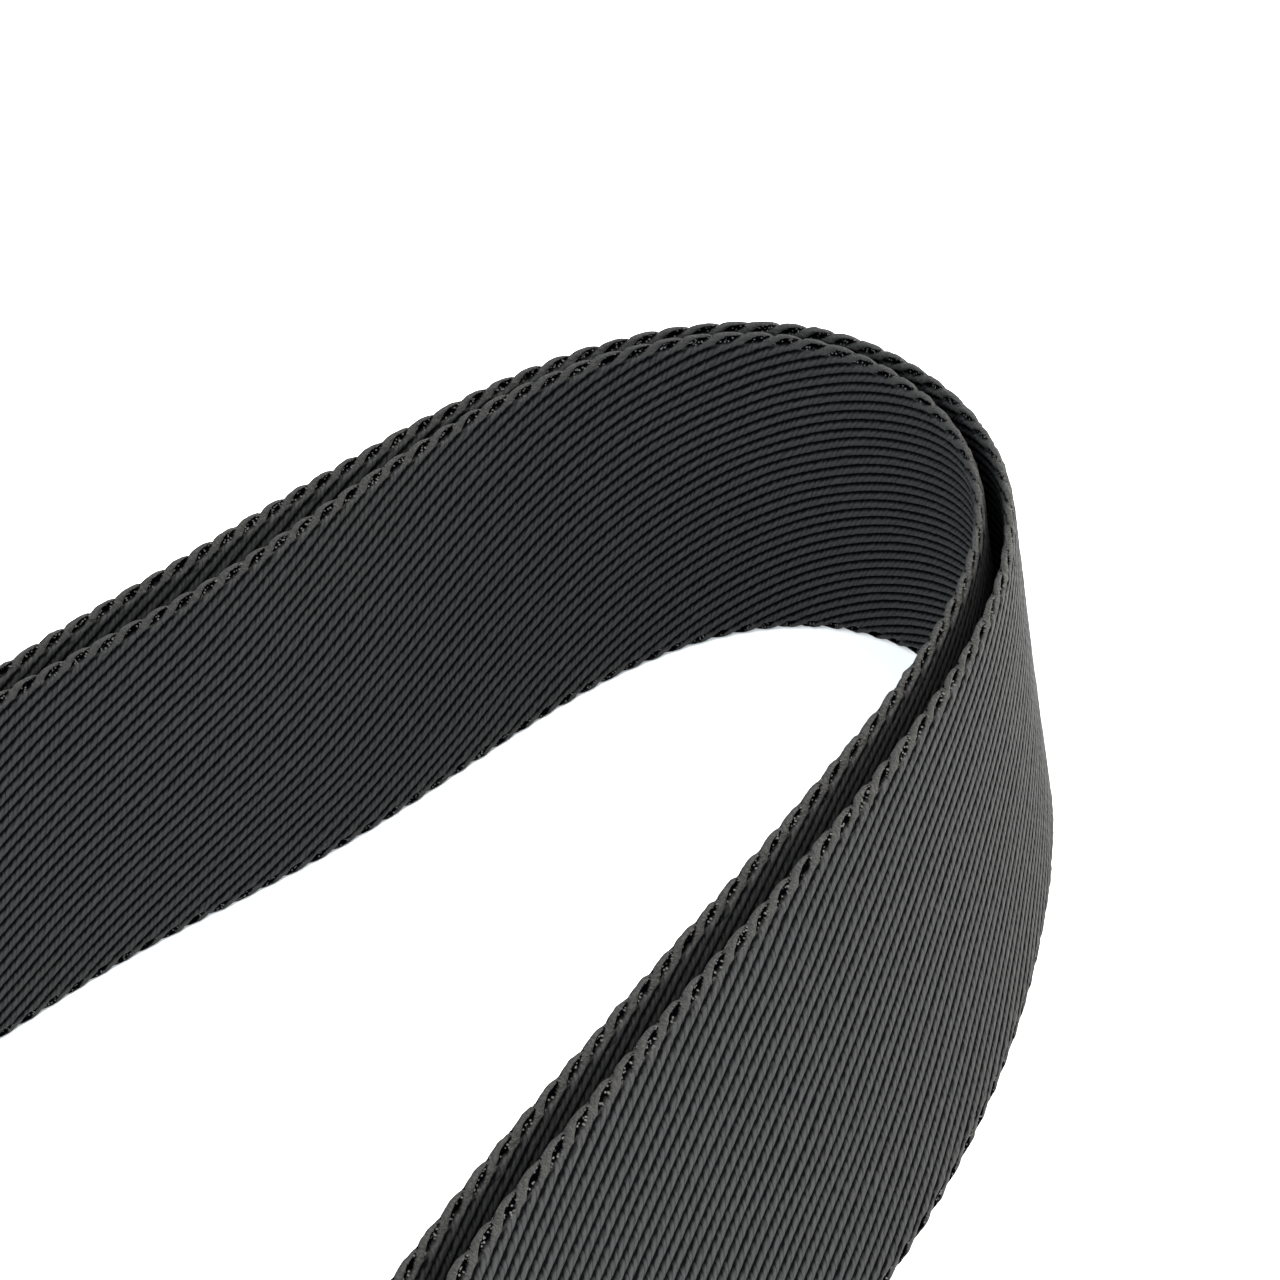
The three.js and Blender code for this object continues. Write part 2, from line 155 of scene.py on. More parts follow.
SLIDER_PLACE = Place(SLIDER_AT, R_MAIN + HALF, False)
LOOP_GAP = GAP_TOP[0][1]
LOOP_PLACE = Place(LOOP_AT, THICK + LOOP_GAP / 2, True)
LOOP_WRAP = (LOOP_GAP + THICK) / 2

# From the layout in plan to the CAD frame: the slider's middle bar fixes the move.
PLAN_TURN = -math.pi - float(on_route(SLIDER_AT)[2])
PLAN_COS, PLAN_SIN = math.cos(PLAN_TURN), math.sin(PLAN_TURN)
SLIDER_BOX = np.array(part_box("slider_frame"))
PLAN_SHIFT = SLIDER_BOX.mean(0)[:2] / MM - np.array([
    PLAN_COS * SLIDER_PLACE.x - PLAN_SIN * SLIDER_PLACE.y,
    PLAN_SIN * SLIDER_PLACE.x + PLAN_COS * SLIDER_PLACE.y])


def to_cad(points):
    """Layout millimetres to CAD metres."""
    p = np.asarray(points, float)
    out = np.empty_like(p)
    out[..., 0] = (PLAN_COS * p[..., 0] - PLAN_SIN * p[..., 1] + PLAN_SHIFT[0]) * MM
    out[..., 1] = (PLAN_SIN * p[..., 0] + PLAN_COS * p[..., 1] + PLAN_SHIFT[1]) * MM
    out[..., 2] = p[..., 2] * MM
    return out


def in_place(place, local):
    """Points in a standing frame, in mm, to CAD metres."""
    q = np.asarray(local, float)
    flat = place.plan(q.reshape(-1, 3)[:, :2]).reshape(*q.shape[:-1], 2)
    return to_cad(np.concatenate([flat, q[..., 2:]], -1))


def belt(stops, arc_step=math.radians(4)):
    """A path round bars, as in the CAD: each stop is x, y, radius, side."""
    lines = []
    for (x0, y0, r0, d0), (x1, y1, r1, d1) in zip(stops, stops[1:]):
        away = math.atan2(y1 - y0, x1 - x0)
        reach = math.hypot(x1 - x0, y1 - y0)
        lines.append(away + math.acos((r1 * d1 - r0 * d0) / reach) - math.pi / 2)
    points = [stops[0][:2]]
    for i in range(1, len(stops) - 1):
        x, y, r, side = stops[i]
        sweep = ((lines[i] - lines[i - 1]) * side) % (2 * math.pi)
        if sweep > 2 * math.pi - 1e-6:
            sweep = 0.0
        count = max(1, math.ceil(sweep / arc_step))
        for k in range(count + 1):
            h = lines[i - 1] + side * sweep * k / count
            points.append((x + r * side * math.sin(h), y - r * side * math.cos(h)))
    points.append(stops[-1][:2])
    return np.array(points, float)


# ---- a webbing's path


def run_along(path):
    """The length walked at each point of a path."""
    return np.concatenate([[0], np.cumsum(np.hypot(*np.diff(path, axis=0).T))])


class Strip:
    """A webbing from end to end: where its lower and upper edges run, by length."""

    STEP = 0.25              # mm between rows
    BLUR = 3                 # rows over which kinks of the path are eased

    def __init__(self, low, high, lift):
        keep = np.ones(len(low), bool)
        keep[1:] = np.hypot(*(np.diff((low + high) / 2, axis=0).T)) > 1e-4
        low, high, lift = low[keep], high[keep], lift[keep]
        run = run_along((low + high) / 2)
        at = np.arange(0, run[-1], self.STEP)
        rows = np.column_stack([np.interp(at, run, c) for c in
                                (low[:, 0], low[:, 1], high[:, 0], high[:, 1], lift)])
        pad = 3 * self.BLUR
        taps = np.exp(-0.5 * (np.arange(-pad, pad + 1) / self.BLUR) ** 2)
        taps /= taps.sum()
        ends = (2 * rows[0] - rows[pad:0:-1], 2 * rows[-1] - rows[-2:-pad - 2:-1])
        longer = np.vstack([ends[0], rows, ends[1]])
        rows = np.column_stack([np.convolve(c, taps, "valid") for c in longer.T])
        mid = (rows[:, :2] + rows[:, 2:4]) / 2
        self.run = run_along(mid)
        self.length = float(self.run[-1])
        self.rows = rows
        self.normals = np.column_stack([self._left(rows[:, :2]), self._left(rows[:, 2:4])])
        heading = np.unwrap(np.arctan2(*np.gradient(mid, axis=0)[:, ::-1].T))
        self.bend = np.abs(np.gradient(heading, self.run))

    @staticmethod
    def _left(points):
        d = np.gradient(points, axis=0)
        d /= np.hypot(d[:, 0], d[:, 1])[:, None]
        return np.column_stack([-d[:, 1], d[:, 0]])

    def nearest(self, target, before=1e9):
        """The run at which the webbing passes nearest to a point."""
        gap = np.hypot(*((self.rows[:, :2] + self.rows[:, 2:4]) / 2 - target).T)
        gap[self.run > before] = 1e9
        return float(self.run[gap.argmin()])

    def points(self, run, across, out):
        """Layout points: length along, height across, distance to the left."""
        run, across, out = np.broadcast_arrays(run, across, out)
        shape = run.shape
        flat = run.ravel()
        cols = [np.interp(flat, self.run, c).reshape(shape) for c in self.rows.T]
        nrm = [np.interp(flat, self.run, c).reshape(shape) for c in self.normals.T]
        t = across / WIDTH
        nx = nrm[0] * (1 - t) + nrm[2] * t
        ny = nrm[1] * (1 - t) + nrm[3] * t
        size = np.hypot(nx, ny)
        x = cols[0] * (1 - t) + cols[2] * t + out * nx / size
        y = cols[1] * (1 - t) + cols[3] * t + out * ny / size
        return np.stack([x, y, cols[4] + across], -1)


def layer_rows(s, offset_low, offset_high):
    x, y, heading = on_route(s)
    shift = WIDTH * np.sin(np.radians(softly(LEAN, s)))

    def off(d):
        return np.column_stack([x - d * np.sin(heading), y + d * np.cos(heading)])

    return off(offset_low), off(offset_high + shift), EDGE_LIFT * softly(LIFT, s)


def frame_rows(points, place):
    flat = place.plan(points)
    return flat, flat, np.full(len(flat), EDGE_LIFT)


def join_rows(parts):
    return Strip(*(np.concatenate([p[i] for p in parts]) for i in range(3)))


def main_strip():
    sliding = belt([(SINGLE + INSIDE_LEATHER, -R_SLIDING, 0, 0),
                    (BAR_PITCH, 0, R_SLIDING, -1), (0, 0, R_OVER, 1),
                    (-BAR_PITCH, 0, R_SLIDING, -1), (-FOLD_REACH, -R_SLIDING, 0, 0)])
    folded = belt([(-FOLD_REACH, -R_MAIN, 0, 0), (-BAR_PITCH, 0, R_MAIN, 1),
                   (0, 0, R_WRAP, 1), (-BAR_PITCH, 0, R_RETURNING, -1),
                   (-FOLD_REACH, -R_RETURNING, 0, 0)])
    loop = belt([(-6, -LOOP_WRAP, 0, 0), (0, 0, LOOP_WRAP, 1), (-6, LOOP_WRAP, 0, 0)])
    s = np.arange(LOOP_AT + 12.0, SLIDER_AT - FOLD_REACH - 5.0)
    outer = layer_rows(s[::-1], 1.5 * THICK + softly(GAP_BOTTOM, s[::-1]),
                       1.5 * THICK + softly(GAP_TOP, s[::-1]))
    inner = layer_rows(s, np.full(len(s), HALF), np.full(len(s), HALF))
    return join_rows([frame_rows(sliding, SLIDER_PLACE), outer, frame_rows(loop, LOOP_PLACE),
                      inner, frame_rows(folded, SLIDER_PLACE)])


def tab_strip():
    ply = HALF + SEWN_GAP / 2
    end = LOOP_PITCH + TAB_FREE + INSIDE_LEATHER
    ease, reach = 20.0, 12.0
    path = belt([(end, -ply, 0, 0), (LOOP_PITCH + reach, -ply - ease, ease, 1),
                 (LOOP_PITCH, 0, WIRE / 2 + BEAR, -1),
                 (LOOP_PITCH + reach, ply + ease, ease, 1), (end, ply, 0, 0)])
    return join_rows([frame_rows(path, LOOP_PLACE)])


# ---- twill webbing

# The ribs of both faces climb the same way as each face is looked at, so they cross.
RIB_SLOPE = math.tan(math.radians(20.7))
RIB_PITCH = 1.51             # across the width, in mm
PER_RIB = 7
N_RIBS = 30
ROW = RIB_PITCH / PER_RIB
COLUMN = ROW / RIB_SLOPE     # the length in which a rib climbs one row
RIB_PERIOD = COLUMN * PER_RIB
N_ROWS = N_RIBS * PER_RIB
FIRST_ROW = (WIDTH - N_ROWS * ROW) / 2
RIB_DEPTH = 0.46
FINE = 2                     # selvage columns to each column of the face
# Selvage section: distances in from the edge, then angles round the edge itself.
SELVAGE_ROWS = [1.9, 1.55, 1.24, 0.98, 0.76, 0.56, 0.38, 0.2]
SELVAGE_CAP = [-48, 0, 48]
CAP_DEPTH = 0.16
CAP_SHARE = 0.42             # thickness of the edge itself, as a share of the webbing's
PIT_AT = FIRST_ROW - RIB_PITCH   # the middle of a pit, in from the edge
PIT_SLOPE = 0.62
PIT_LEAN = math.sin(math.atan(PIT_SLOPE))
PIT_HALF = 0.58              # half a pit's width, and half its reach across the webbing
PIT_REACH = 0.62
PIT_DEPTH = 0.55
NOTCH = 0.45
KNOTTY = 0.085               # unevenness of the selvage
YARN_LENGTH = 1.22           # along a rib
YARN_LEAN = 1.3


NOISE = np.random.default_rng(5).normal(size=(64, 256))


def noise_at(u, v, seed=0):
    """Smooth noise on a table that repeats, about -1 to 1."""
    u = np.asarray(u, float) + 17.3 * seed
    v = np.asarray(v, float) + 5.7 * seed
    i, j = np.floor(u).astype(int), np.floor(v).astype(int)
    a, b = u - i, v - j
    a, b = a * a * (3 - 2 * a), b * b * (3 - 2 * b)

    def at(p, q):
        return NOISE[p % 64, q % 256]

    low = at(i, j) * (1 - a) + at(i + 1, j) * a
    high = at(i, j + 1) * (1 - a) + at(i + 1, j + 1) * a
    return (low * (1 - b) + high * b) * 0.6


def rib_height(phase, run, side):
    """How far the face lies below the full thickness, in mm."""
    index = np.floor(phase)
    d = np.minimum(2 * np.abs(phase - index - 0.5), 1.0)
    swell = 0.04 * noise_at(index * 3.1, run / 7.0, 1 + side)
    valley = 1 + 0.15 * noise_at(np.round(phase) * 1.7, run / 5.0, 4 + side)
    round_rib = 1 - np.sqrt(np.clip(1 - d ** 2, 0, 1))
    return swell * (1 - d ** 2) - RIB_DEPTH * valley * (0.8 * round_rib + 0.2 * d ** 6)


def rib_phase(run, w, side):
    return (w - FIRST_ROW + side * run * RIB_SLOPE) / RIB_PITCH


def selvage_pull(run):
    """How far the edge is drawn in between two turns of the weft, and where a point is."""
    turn = run / RIB_PERIOD
    index = np.round(turn)
    size = 1 + 0.25 * noise_at(index * 2.3, np.full_like(run, 0.5), 8)
    return turn - index, size, NOTCH * size * np.abs(2 * (turn - index)) ** 2.4


def selvage_point(run, top, e, side):
    """A point of the selvage on a face, at a distance in from the edge."""
    f, size, pull = selvage_pull(run)
    inward = e + pull * np.clip(1 - e / 2.2, 0, 1)
    # A pit lies in the middle of each turn, and slants across it.
    lean = side * (-1 if top else 1) * (inward - PIT_AT) / PIT_SLOPE / RIB_PERIOD
    off = f + lean
    off = (off - np.round(off)) * RIB_PERIOD
    pit = (np.exp(-(off * PIT_LEAN / PIT_HALF) ** 4)
           * np.exp(-((inward - PIT_AT) / PIT_REACH) ** 4))
    ridge = 0.10 * np.exp(-((np.abs(f) - 0.5) * RIB_PERIOD / 0.7) ** 2)
    w = WIDTH - inward if top else inward
    rib = rib_height(rib_phase(run, w, side), run, side) * np.clip((e - 0.7) / 0.8, 0, 1)
    taper = (1 - CAP_SHARE) * 0.8 * np.clip(1 - e / 2.3, 0, 1) ** 1.4
    depth = np.minimum(rib, -PIT_DEPTH * (1 - 0.5 * taper) * size * pit)
    loops = KNOTTY * noise_at(run / 0.8 + 40 * side, e / 0.55, 3 if top else 6)
    loops = loops * np.clip((1.9 - e) / 0.5, 0, 1)
    return w, side * (HALF * (1 - taper) + depth + loops + ridge * np.clip(e, 0, 1))


def cap_point(run, top, angle):
    """A point of the edge itself, round from one face to the other."""
    _, _, pull = selvage_pull(run)
    a = math.radians(angle)
    inward = pull + CAP_DEPTH * (1 - math.cos(a))
    inward = inward + 0.8 * KNOTTY * noise_at(run / 0.9, angle / 40.0, 12 if top else 15)
    return (WIDTH - inward if top else inward), math.sin(a) * HALF * CAP_SHARE


def webbing_mesh(strip, k_from, k_to, name):
    """Mesh of a run of webbing, with its ribs, its selvages and its cut ends."""
    # Columns lie close together where the webbing bends.
    ks = [k_from]
    while ks[-1] < k_to:
        near = strip.bend[np.abs(strip.run - ks[-1] * COLUMN) < 4.0].max()
        step = 5 if near < 0.045 else 3 if near < 0.08 else 1
        ks.append(min(k_to, ks[-1] + step))
    ks = np.array(ks)
    fine = np.arange(k_from * FINE, k_to * FINE + 1) / FINE
    verts, weave, faces = [], [], []
    count = 0

    def add(run, w, out, side, sway=0.0):
        nonlocal count
        run, w, out, side = np.broadcast_arrays(run, w, out, side)
        verts.append(strip.points(run, w + sway, out).reshape(-1, 3))
        weave.append(np.stack([run.ravel(), w.ravel(), side.ravel()], 1).astype(float))
        count += run.size
        return np.arange(count - run.size, count).reshape(run.shape)

    grids = {}
    run = np.clip(ks * COLUMN, 0, strip.length)[:, None]
    for side in (-1, 1):
        j = np.arange(N_ROWS + 1)[None, ::-side]
        phase = (j + side * ks[:, None]) / PER_RIB
        w = FIRST_ROW + j * ROW
        fade = np.minimum(1, np.minimum(j, N_ROWS - j) / 16.0)
        sway = 0.16 * fade * noise_at(run / 13.0 + w / 40, w / 7.0, 11 + side)
        out = HALF + rib_height(phase, run, side)
        out = out + 0.10 * fade * noise_at(run / 26.0, w / 19.0, 21)
        grids[side] = add(run, w, side * out, side, sway)
    borders, rings = {}, {}
    run = np.clip(fine * COLUMN, 0, strip.length)
    for top, j in ((False, 0), (True, N_ROWS)):
        rows = []
        for side in (-1, 1):
            out = side * (HALF + rib_height((j + side * fine) / PER_RIB, run, side))
            row = add(run, FIRST_ROW + j * ROW, out, side)
            row[(ks - k_from) * FINE] = grids[side][:, N_ROWS - j if side > 0 else j]
            borders[side, top] = row
            rows.append([row] + [add(run, *selvage_point(run, top, e, side), side)
                                 for e in SELVAGE_ROWS])
        cap = [add(run, *cap_point(run, top, a), a / 90.0) for a in SELVAGE_CAP]
        ring = rows[0] + cap + rows[1][::-1]
        for a, b in zip(ring, ring[1:]):
            quad = np.stack([a[:-1], a[1:], b[1:], b[:-1]], 1)
            faces.append(quad if top else quad[:, ::-1])
        rings[top] = ring[1:-1]
    for side in (-1, 1):
        grid = grids[side]
        low, high = borders[side, side > 0], borders[side, side < 0]
        for i in range(len(ks) - 1):
            k = ks[i + 1] - ks[i]
            a, b = grid[i], grid[i + 1]
            quads = np.stack([a[:N_ROWS - k], b[k:N_ROWS], b[k + 1:N_ROWS + 1],
                              a[1:N_ROWS - k + 1]], 1)
            span = slice((ks[i] - k_from) * FINE, (ks[i + 1] - k_from) * FINE + 1)
            tris = [(p, q, b[1]) for p, q in zip(low[span], low[span][1:])]
            tris += [(a[0], b[j], b[j + 1]) for j in range(1, k)]
            tris += [(p, a[N_ROWS - 1], q) for p, q in zip(high[span], high[span][1:])]
            tris += [(a[j], b[N_ROWS], a[j + 1]) for j in range(N_ROWS - k, N_ROWS - 1)]
            faces += [quads, np.array(tris)]
    cut_ends = []
    for which in (0, -1):
        loop = list(grids[-1][which][::-1])
        loop += [row[which] for row in rings[False]]
        loop += list(grids[1][which][::-1])
        loop += [row[which] for row in rings[True][::-1]]
        cut_ends.append(loop if which == 0 else loop[::-1])
    me = mesh_from(name, np.concatenate(verts), faces, cut_ends)
    store(me, "weave", np.concatenate(weave))
    with edited(me) as bm:
        loose = [v for v in bm.verts if not v.link_faces]
        bmesh.ops.delete(bm, geom=loose, context="VERTS")
        for f in bm.faces:
            f.smooth = len(f.verts) <= 4
            if not f.smooth:
                for e in f.edges:
                    e.smooth = False
    return me


def mesh_from(name, points, faces, loops=()):
    """Mesh from layout points in mm, arrays of faces and single faces."""
    polys = [block.reshape(-1) for block in faces] + [np.array(loop) for loop in loops]
    sizes = [np.full(len(block), block.shape[1]) for block in faces] + [[len(p)] for p in loops]
    polys = np.concatenate(polys).astype(np.int32)
    sizes = np.concatenate(sizes).astype(np.int32)
    me = bpy.data.meshes.new(name)
    me.vertices.add(len(points))
    me.vertices.foreach_set("co", to_cad(points).astype(np.float32).ravel())
    me.loops.add(len(polys))
    me.loops.foreach_set("vertex_index", polys)
    me.polygons.add(len(sizes))
    starts = np.concatenate([[0], np.cumsum(sizes)[:-1]]).astype(np.int32)
    me.polygons.foreach_set("loop_start", starts)
    me.update(calc_edges=True)
    me.validate()
    return me


@contextmanager
def edited(me):
    """The mesh as a bmesh, with its faces turned outwards and written back at the end."""
    bm = bmesh.new()
    bm.from_mesh(me)
    yield bm
    bmesh.ops.recalc_face_normals(bm, faces=bm.faces)
    bm.to_mesh(me)
    bm.free()


def smooth(me, angle=180):
    """Smooth every face, but for edges that turn by more than an angle."""
    with edited(me) as bm:
        bmesh.ops.recalc_face_normals(bm, faces=bm.faces)
        for f in bm.faces:
            f.smooth = True
        for e in bm.edges:
            if len(e.link_faces) == 2 and angle < 180:
                e.smooth = e.calc_face_angle(0) < math.radians(angle)
    return me


def store(me, name, values):
    """Keep a number or a vector at each vertex, for the material."""
    kind, key = ("FLOAT_VECTOR", "vector") if values.ndim == 2 else ("FLOAT", "value")
    attr = me.attributes.new(name, kind, "POINT")
    attr.data.foreach_set(key, values.astype(np.float32).ravel())


# ---- materials


class Value:
    """A socket of a node tree that takes part in sums and products."""

    def __init__(self, nodes, socket):
        self.nodes, self.socket = nodes, socket

    def __add__(self, other):
        return self.nodes.math("ADD", self, other)

    def __sub__(self, other):
        return self.nodes.math("SUBTRACT", self, other)

    def __rsub__(self, other):
        return self.nodes.math("SUBTRACT", other, self)

    def __mul__(self, other):
        return self.nodes.math("MULTIPLY", self, other)

    def __truediv__(self, other):
        return self.nodes.math("DIVIDE", self, other)

    def __abs__(self):
        return self.nodes.math("ABSOLUTE", self)


class Nodes:
    """A material's node tree, with short calls for the nodes used here."""

    def __init__(self, name, color, roughness):
        self.mat = bpy.data.materials.new(name)
        self.mat.use_nodes = True
        self.tree = self.mat.node_tree
        self.shader = self.tree.nodes["Principled BSDF"]
        self.set("Base Color", (*color, 1))
        self.set("Roughness", roughness)

    def set(self, name, value):
        """A uniform value on the shader, or a link to it."""
        self.plug(self.shader.inputs[name], value)

    def node(self, kind, *values, **settings):
        """A new node, with its first inputs in order."""
        n = self.tree.nodes.new(kind)
        for key, value in settings.items():
            setattr(n, key, value)
        for socket, value in zip(n.inputs, values):
            self.plug(socket, value)
        return n

    def plug(self, socket, value):
        if isinstance(value, Value):
            self.tree.links.new(value.socket, socket)
        else:
            socket.default_value = value

    def math(self, op, a, b=0.0, clamp=False):
        n = self.node("ShaderNodeMath", a, b, operation=op, use_clamp=clamp)
        return Value(self, n.outputs[0])

    def attribute(self, name, output):
        n = self.node("ShaderNodeAttribute", attribute_name=name)
        return Value(self, n.outputs[output])

    def object_point(self):
        return Value(self, self.node("ShaderNodeTexCoord").outputs["Object"])

    def split(self, vector):
        n = self.node("ShaderNodeSeparateXYZ", vector)
        return [Value(self, out) for out in n.outputs]

    def vector(self, x, y, z=0.0):
        return Value(self, self.node("ShaderNodeCombineXYZ", x, y, z).outputs[0])

    def texture(self, kind, vector, values, output, **settings):
        n = self.node(kind, **settings)
        self.plug(n.inputs["Vector"], vector)
        for key, value in values.items():
            n.inputs[key].default_value = value
        return Value(self, n.outputs[output])

    def noise(self, vector, scale, detail=2.0, rough=0.5):
        values = {"Scale": scale, "Detail": detail, "Roughness": rough}
        return self.texture("ShaderNodeTexNoise", vector, values, "Fac")

    def voronoi(self, vector, scale, feature="F1", randomness=1.0):
        values = {"Scale": scale, "Randomness": randomness}
        return self.texture("ShaderNodeTexVoronoi", vector, values, "Distance",
                            feature=feature)

    def spread(self, value, lo, hi, to_lo=0.0, to_hi=1.0):
        """A range of values stretched over another, and held at its ends."""
        n = self.node("ShaderNodeMapRange", value, lo, hi, to_lo, to_hi, clamp=True)
        return Value(self, n.outputs[0])

    def mix(self, factor, a, b):
        n = self.node("ShaderNodeMix", data_type="RGBA")
        self.plug(n.inputs["Factor"], factor)
        for key, value in (("A", a), ("B", b)):
            socket = [i for i in n.inputs if i.name == key and i.type == "RGBA"][0]
            self.plug(socket, (*value, 1) if isinstance(value, tuple) else value)
        return Value(self, [o for o in n.outputs if o.type == "RGBA"][0])

    def bump(self, height, distance, strength):
        n = self.node("ShaderNodeBump")
        n.inputs["Strength"].default_value = strength
        n.inputs["Distance"].default_value = distance
        self.plug(n.inputs["Height"], height)
        self.set("Normal", Value(self, n.outputs[0]))


def webbing_material():
    m = Nodes("black_twill_webbing", (0.03, 0.03, 0.03), 0.7)
    run, across, side = m.split(m.attribute("weave", "Vector"))
    # Ribs are counted across the webbing, and distance is taken along them.
    hand = m.math("SIGN", side)
    phase = (across + run * hand * RIB_SLOPE - FIRST_ROW) / RIB_PITCH
    wobble = m.noise(m.vector(run, across, side), 0.9)
    phase = phase + m.spread(wobble, 0.3, 0.7, -0.03, 0.03)
    along = run / math.cos(math.atan(RIB_SLOPE))
    row = m.math("FLOOR", phase)
    inside = phase - row
    # Each rib is a row of yarns that lean across it, staggered from rib to rib.
    stagger = m.math("FRACT", m.math("SINE", row * 12.9) * 43.7)
    drift = m.spread(m.noise(m.vector(along, row * 3.7, side), 0.45), 0.3, 0.7, -0.5, 0.5)
    yarn_at = along / YARN_LENGTH + inside * hand * YARN_LEAN + stagger + drift
    seam = abs(m.math("FRACT", yarn_at) * 2.0 - 1.0)
    lobe = 1.0 - m.math("POWER", seam, 2.6)
    fibre = m.noise(m.vector(yarn_at * 4.6, phase * 1.4, side), 1.0, 3.0, 0.65)
    fuzz = m.noise(m.vector(along * 5.5, across * 6.0, side), 1.0, 2.0, 0.6)
    # Colour darkens into the valleys between ribs and at the seams between yarns, and each yarn is
    # lighter at its middle: painted shade.
    valley = abs(inside * 2.0 - 1.0) + (1.0 - lobe) * 0.16
    shade = m.spread(valley, 0.40, 0.84)
    tone = m.spread(lobe * 0.35 + fibre * 0.8, 0.35, 0.85)
    yarn = m.mix(tone, (0.0040, 0.0042, 0.0046), (0.0178, 0.0179, 0.0178))
    face = m.mix(shade, yarn, (0.0016, 0.0016, 0.0019))
    # In the selvage the yarns turn over the edge, and little loops lie in the pits. The pits are
    # painted near black as painted shade, and the loops in them are painted bright as painted
    # highlights.
    middle = across - WIDTH / 2
    edge = WIDTH / 2 - abs(middle)
    selvage = m.spread(edge, 1.1, 1.7, 1.0, 0.0)
    loops = m.voronoi(m.vector(run * 2.3, across * 2.9, side), 1.0)
    slant = m.math("SIGN", middle) * (hand * -1.0)
    slip = run / RIB_PERIOD + (edge - PIT_AT) * slant * (1 / (PIT_SLOPE * RIB_PERIOD))
    slip = slip - m.math("ROUND", slip)
    wide = abs(slip * (RIB_PERIOD * PIT_LEAN / PIT_HALF))
    far = abs((edge - PIT_AT) / PIT_REACH)
    ragged = m.spread(fuzz, 0.3, 0.7, -0.12, 0.12)
    pit = m.spread(m.math("MAXIMUM", wide, far) + ragged, 0.85, 1.1, 1.0, 0.0)
    # The selvage strands are painted lighter and warmer than the face yarns: a painted warm
    # highlight.
    strand = m.mix(m.spread(fuzz, 0.3, 0.7), (0.0085, 0.0083, 0.0079),
                   (0.0225, 0.0217, 0.0205))
    knot_glint = m.spread(loops, 0.20, 0.36, 1.0, 0.0)
    # Pit colour: near black for painted shade, with bright loops as painted highlights.
    inner = m.mix(knot_glint * 0.85, (0.0003, 0.0003, 0.0005), (0.085, 0.083, 0.081))
    m.set("Base Color", m.mix(selvage, face, m.mix(pit, strand, inner)))
    dull = m.math("ADD", shade * (1.0 - selvage), pit * selvage, clamp=True)
    m.set("Specular IOR Level", (1.0 - dull) * 0.13)
    m.set("Roughness", m.spread(fibre, 0.3, 0.7, 0.72, 0.52))
    height = lobe * 0.30 + fibre * 0.55 + fuzz * 0.28
    plain = fuzz * 0.7 + loops * -0.75
    m.bump(height * (1.0 - selvage) + plain * selvage, 0.00026, 1.0)
    return m.mat


def leather_material():
    m = Nodes("black_leather", (0.016, 0.014, 0.013), 0.45)
    at = m.object_point()
    edge = m.attribute("rim", "Fac")
    pebble = m.voronoi(at, 1500.0, "SMOOTH_F1", 0.95)
    crease = m.spread(m.voronoi(at, 620.0, "DISTANCE_TO_EDGE"), 0.0, 0.09)
    soft = m.noise(at, 160.0, 3.0)
    face = m.mix(m.spread(soft, 0.3, 0.7), (0.0036, 0.0032, 0.0030),
                 (0.0090, 0.0080, 0.0072))
    m.set("Base Color", m.mix(m.spread(edge, 0.3, 0.8, 0.0, 0.8), face,
                              (0.0030, 0.0028, 0.0026)))
    m.set("Specular IOR Level", 0.16)
    m.set("Roughness", m.spread(soft + crease * -0.12, 0.25, 0.7, 0.58, 0.36))
    flat = m.math("SUBTRACT", 1.0, edge, clamp=True)
    m.bump((pebble * -0.5 + crease * 0.6) * flat + soft * 0.8, 0.00016, 0.6)
    return m.mat


def suede_material():
    m = Nodes("black_suede", (0.026, 0.022, 0.020), 0.95)
    at = m.object_point()
    nap = m.noise(at, 2600.0, 3.0, 0.7)
    cloud = m.noise(at, 120.0, 3.0, 0.6)
    hair = m.voronoi(at, 3800.0)
    face = m.mix(m.spread(cloud, 0.3, 0.7), (0.0062, 0.0054, 0.0048),
                 (0.0165, 0.0145, 0.0130))
    rim = m.spread(m.attribute("rim", "Fac"), 0.4, 0.9, 0.0, 0.7)
    m.set("Base Color", m.mix(rim, face, (0.0042, 0.0038, 0.0034)))
    m.set("Sheen Weight", 0.03)
    m.set("Sheen Roughness", 0.5)
    m.set("Specular IOR Level", 0.06)
    m.set("Roughness", m.spread(nap, 0.3, 0.7, 0.98, 0.86))
    m.bump(nap + hair * 0.6, 0.00022, 0.8)
    return m.mat


def metal_material():
    m = Nodes("black_satin_steel", (0.012, 0.012, 0.013), 0.35)
    at = m.object_point()
    peel = m.noise(at, 900.0)
    smudge = m.noise(at, 90.0, 4.0, 0.6)
    speck = m.noise(at, 2600.0, 2.0, 0.7)
    point = Value(m, m.node("ShaderNodeNewGeometry").outputs["Pointiness"])
    worn = m.spread(point, 0.53, 0.60) * m.spread(speck, 0.5, 0.66)
    coat = m.mix(m.spread(smudge, 0.3, 0.7), (0.0040, 0.0040, 0.0045),
                 (0.0085, 0.0085, 0.0090))
    m.set("Base Color", m.mix(worn * 0.55, coat, (0.09, 0.088, 0.085)))
    m.set("Specular IOR Level", 0.26)
    m.set("Coat Weight", 0.06)
    m.set("Coat Roughness", 0.2)
    m.set("Roughness", m.spread(smudge, 0.25, 0.75, 0.28, 0.46))
    m.bump(peel + speck * 0.25, 0.00006, 0.35)
    return m.mat


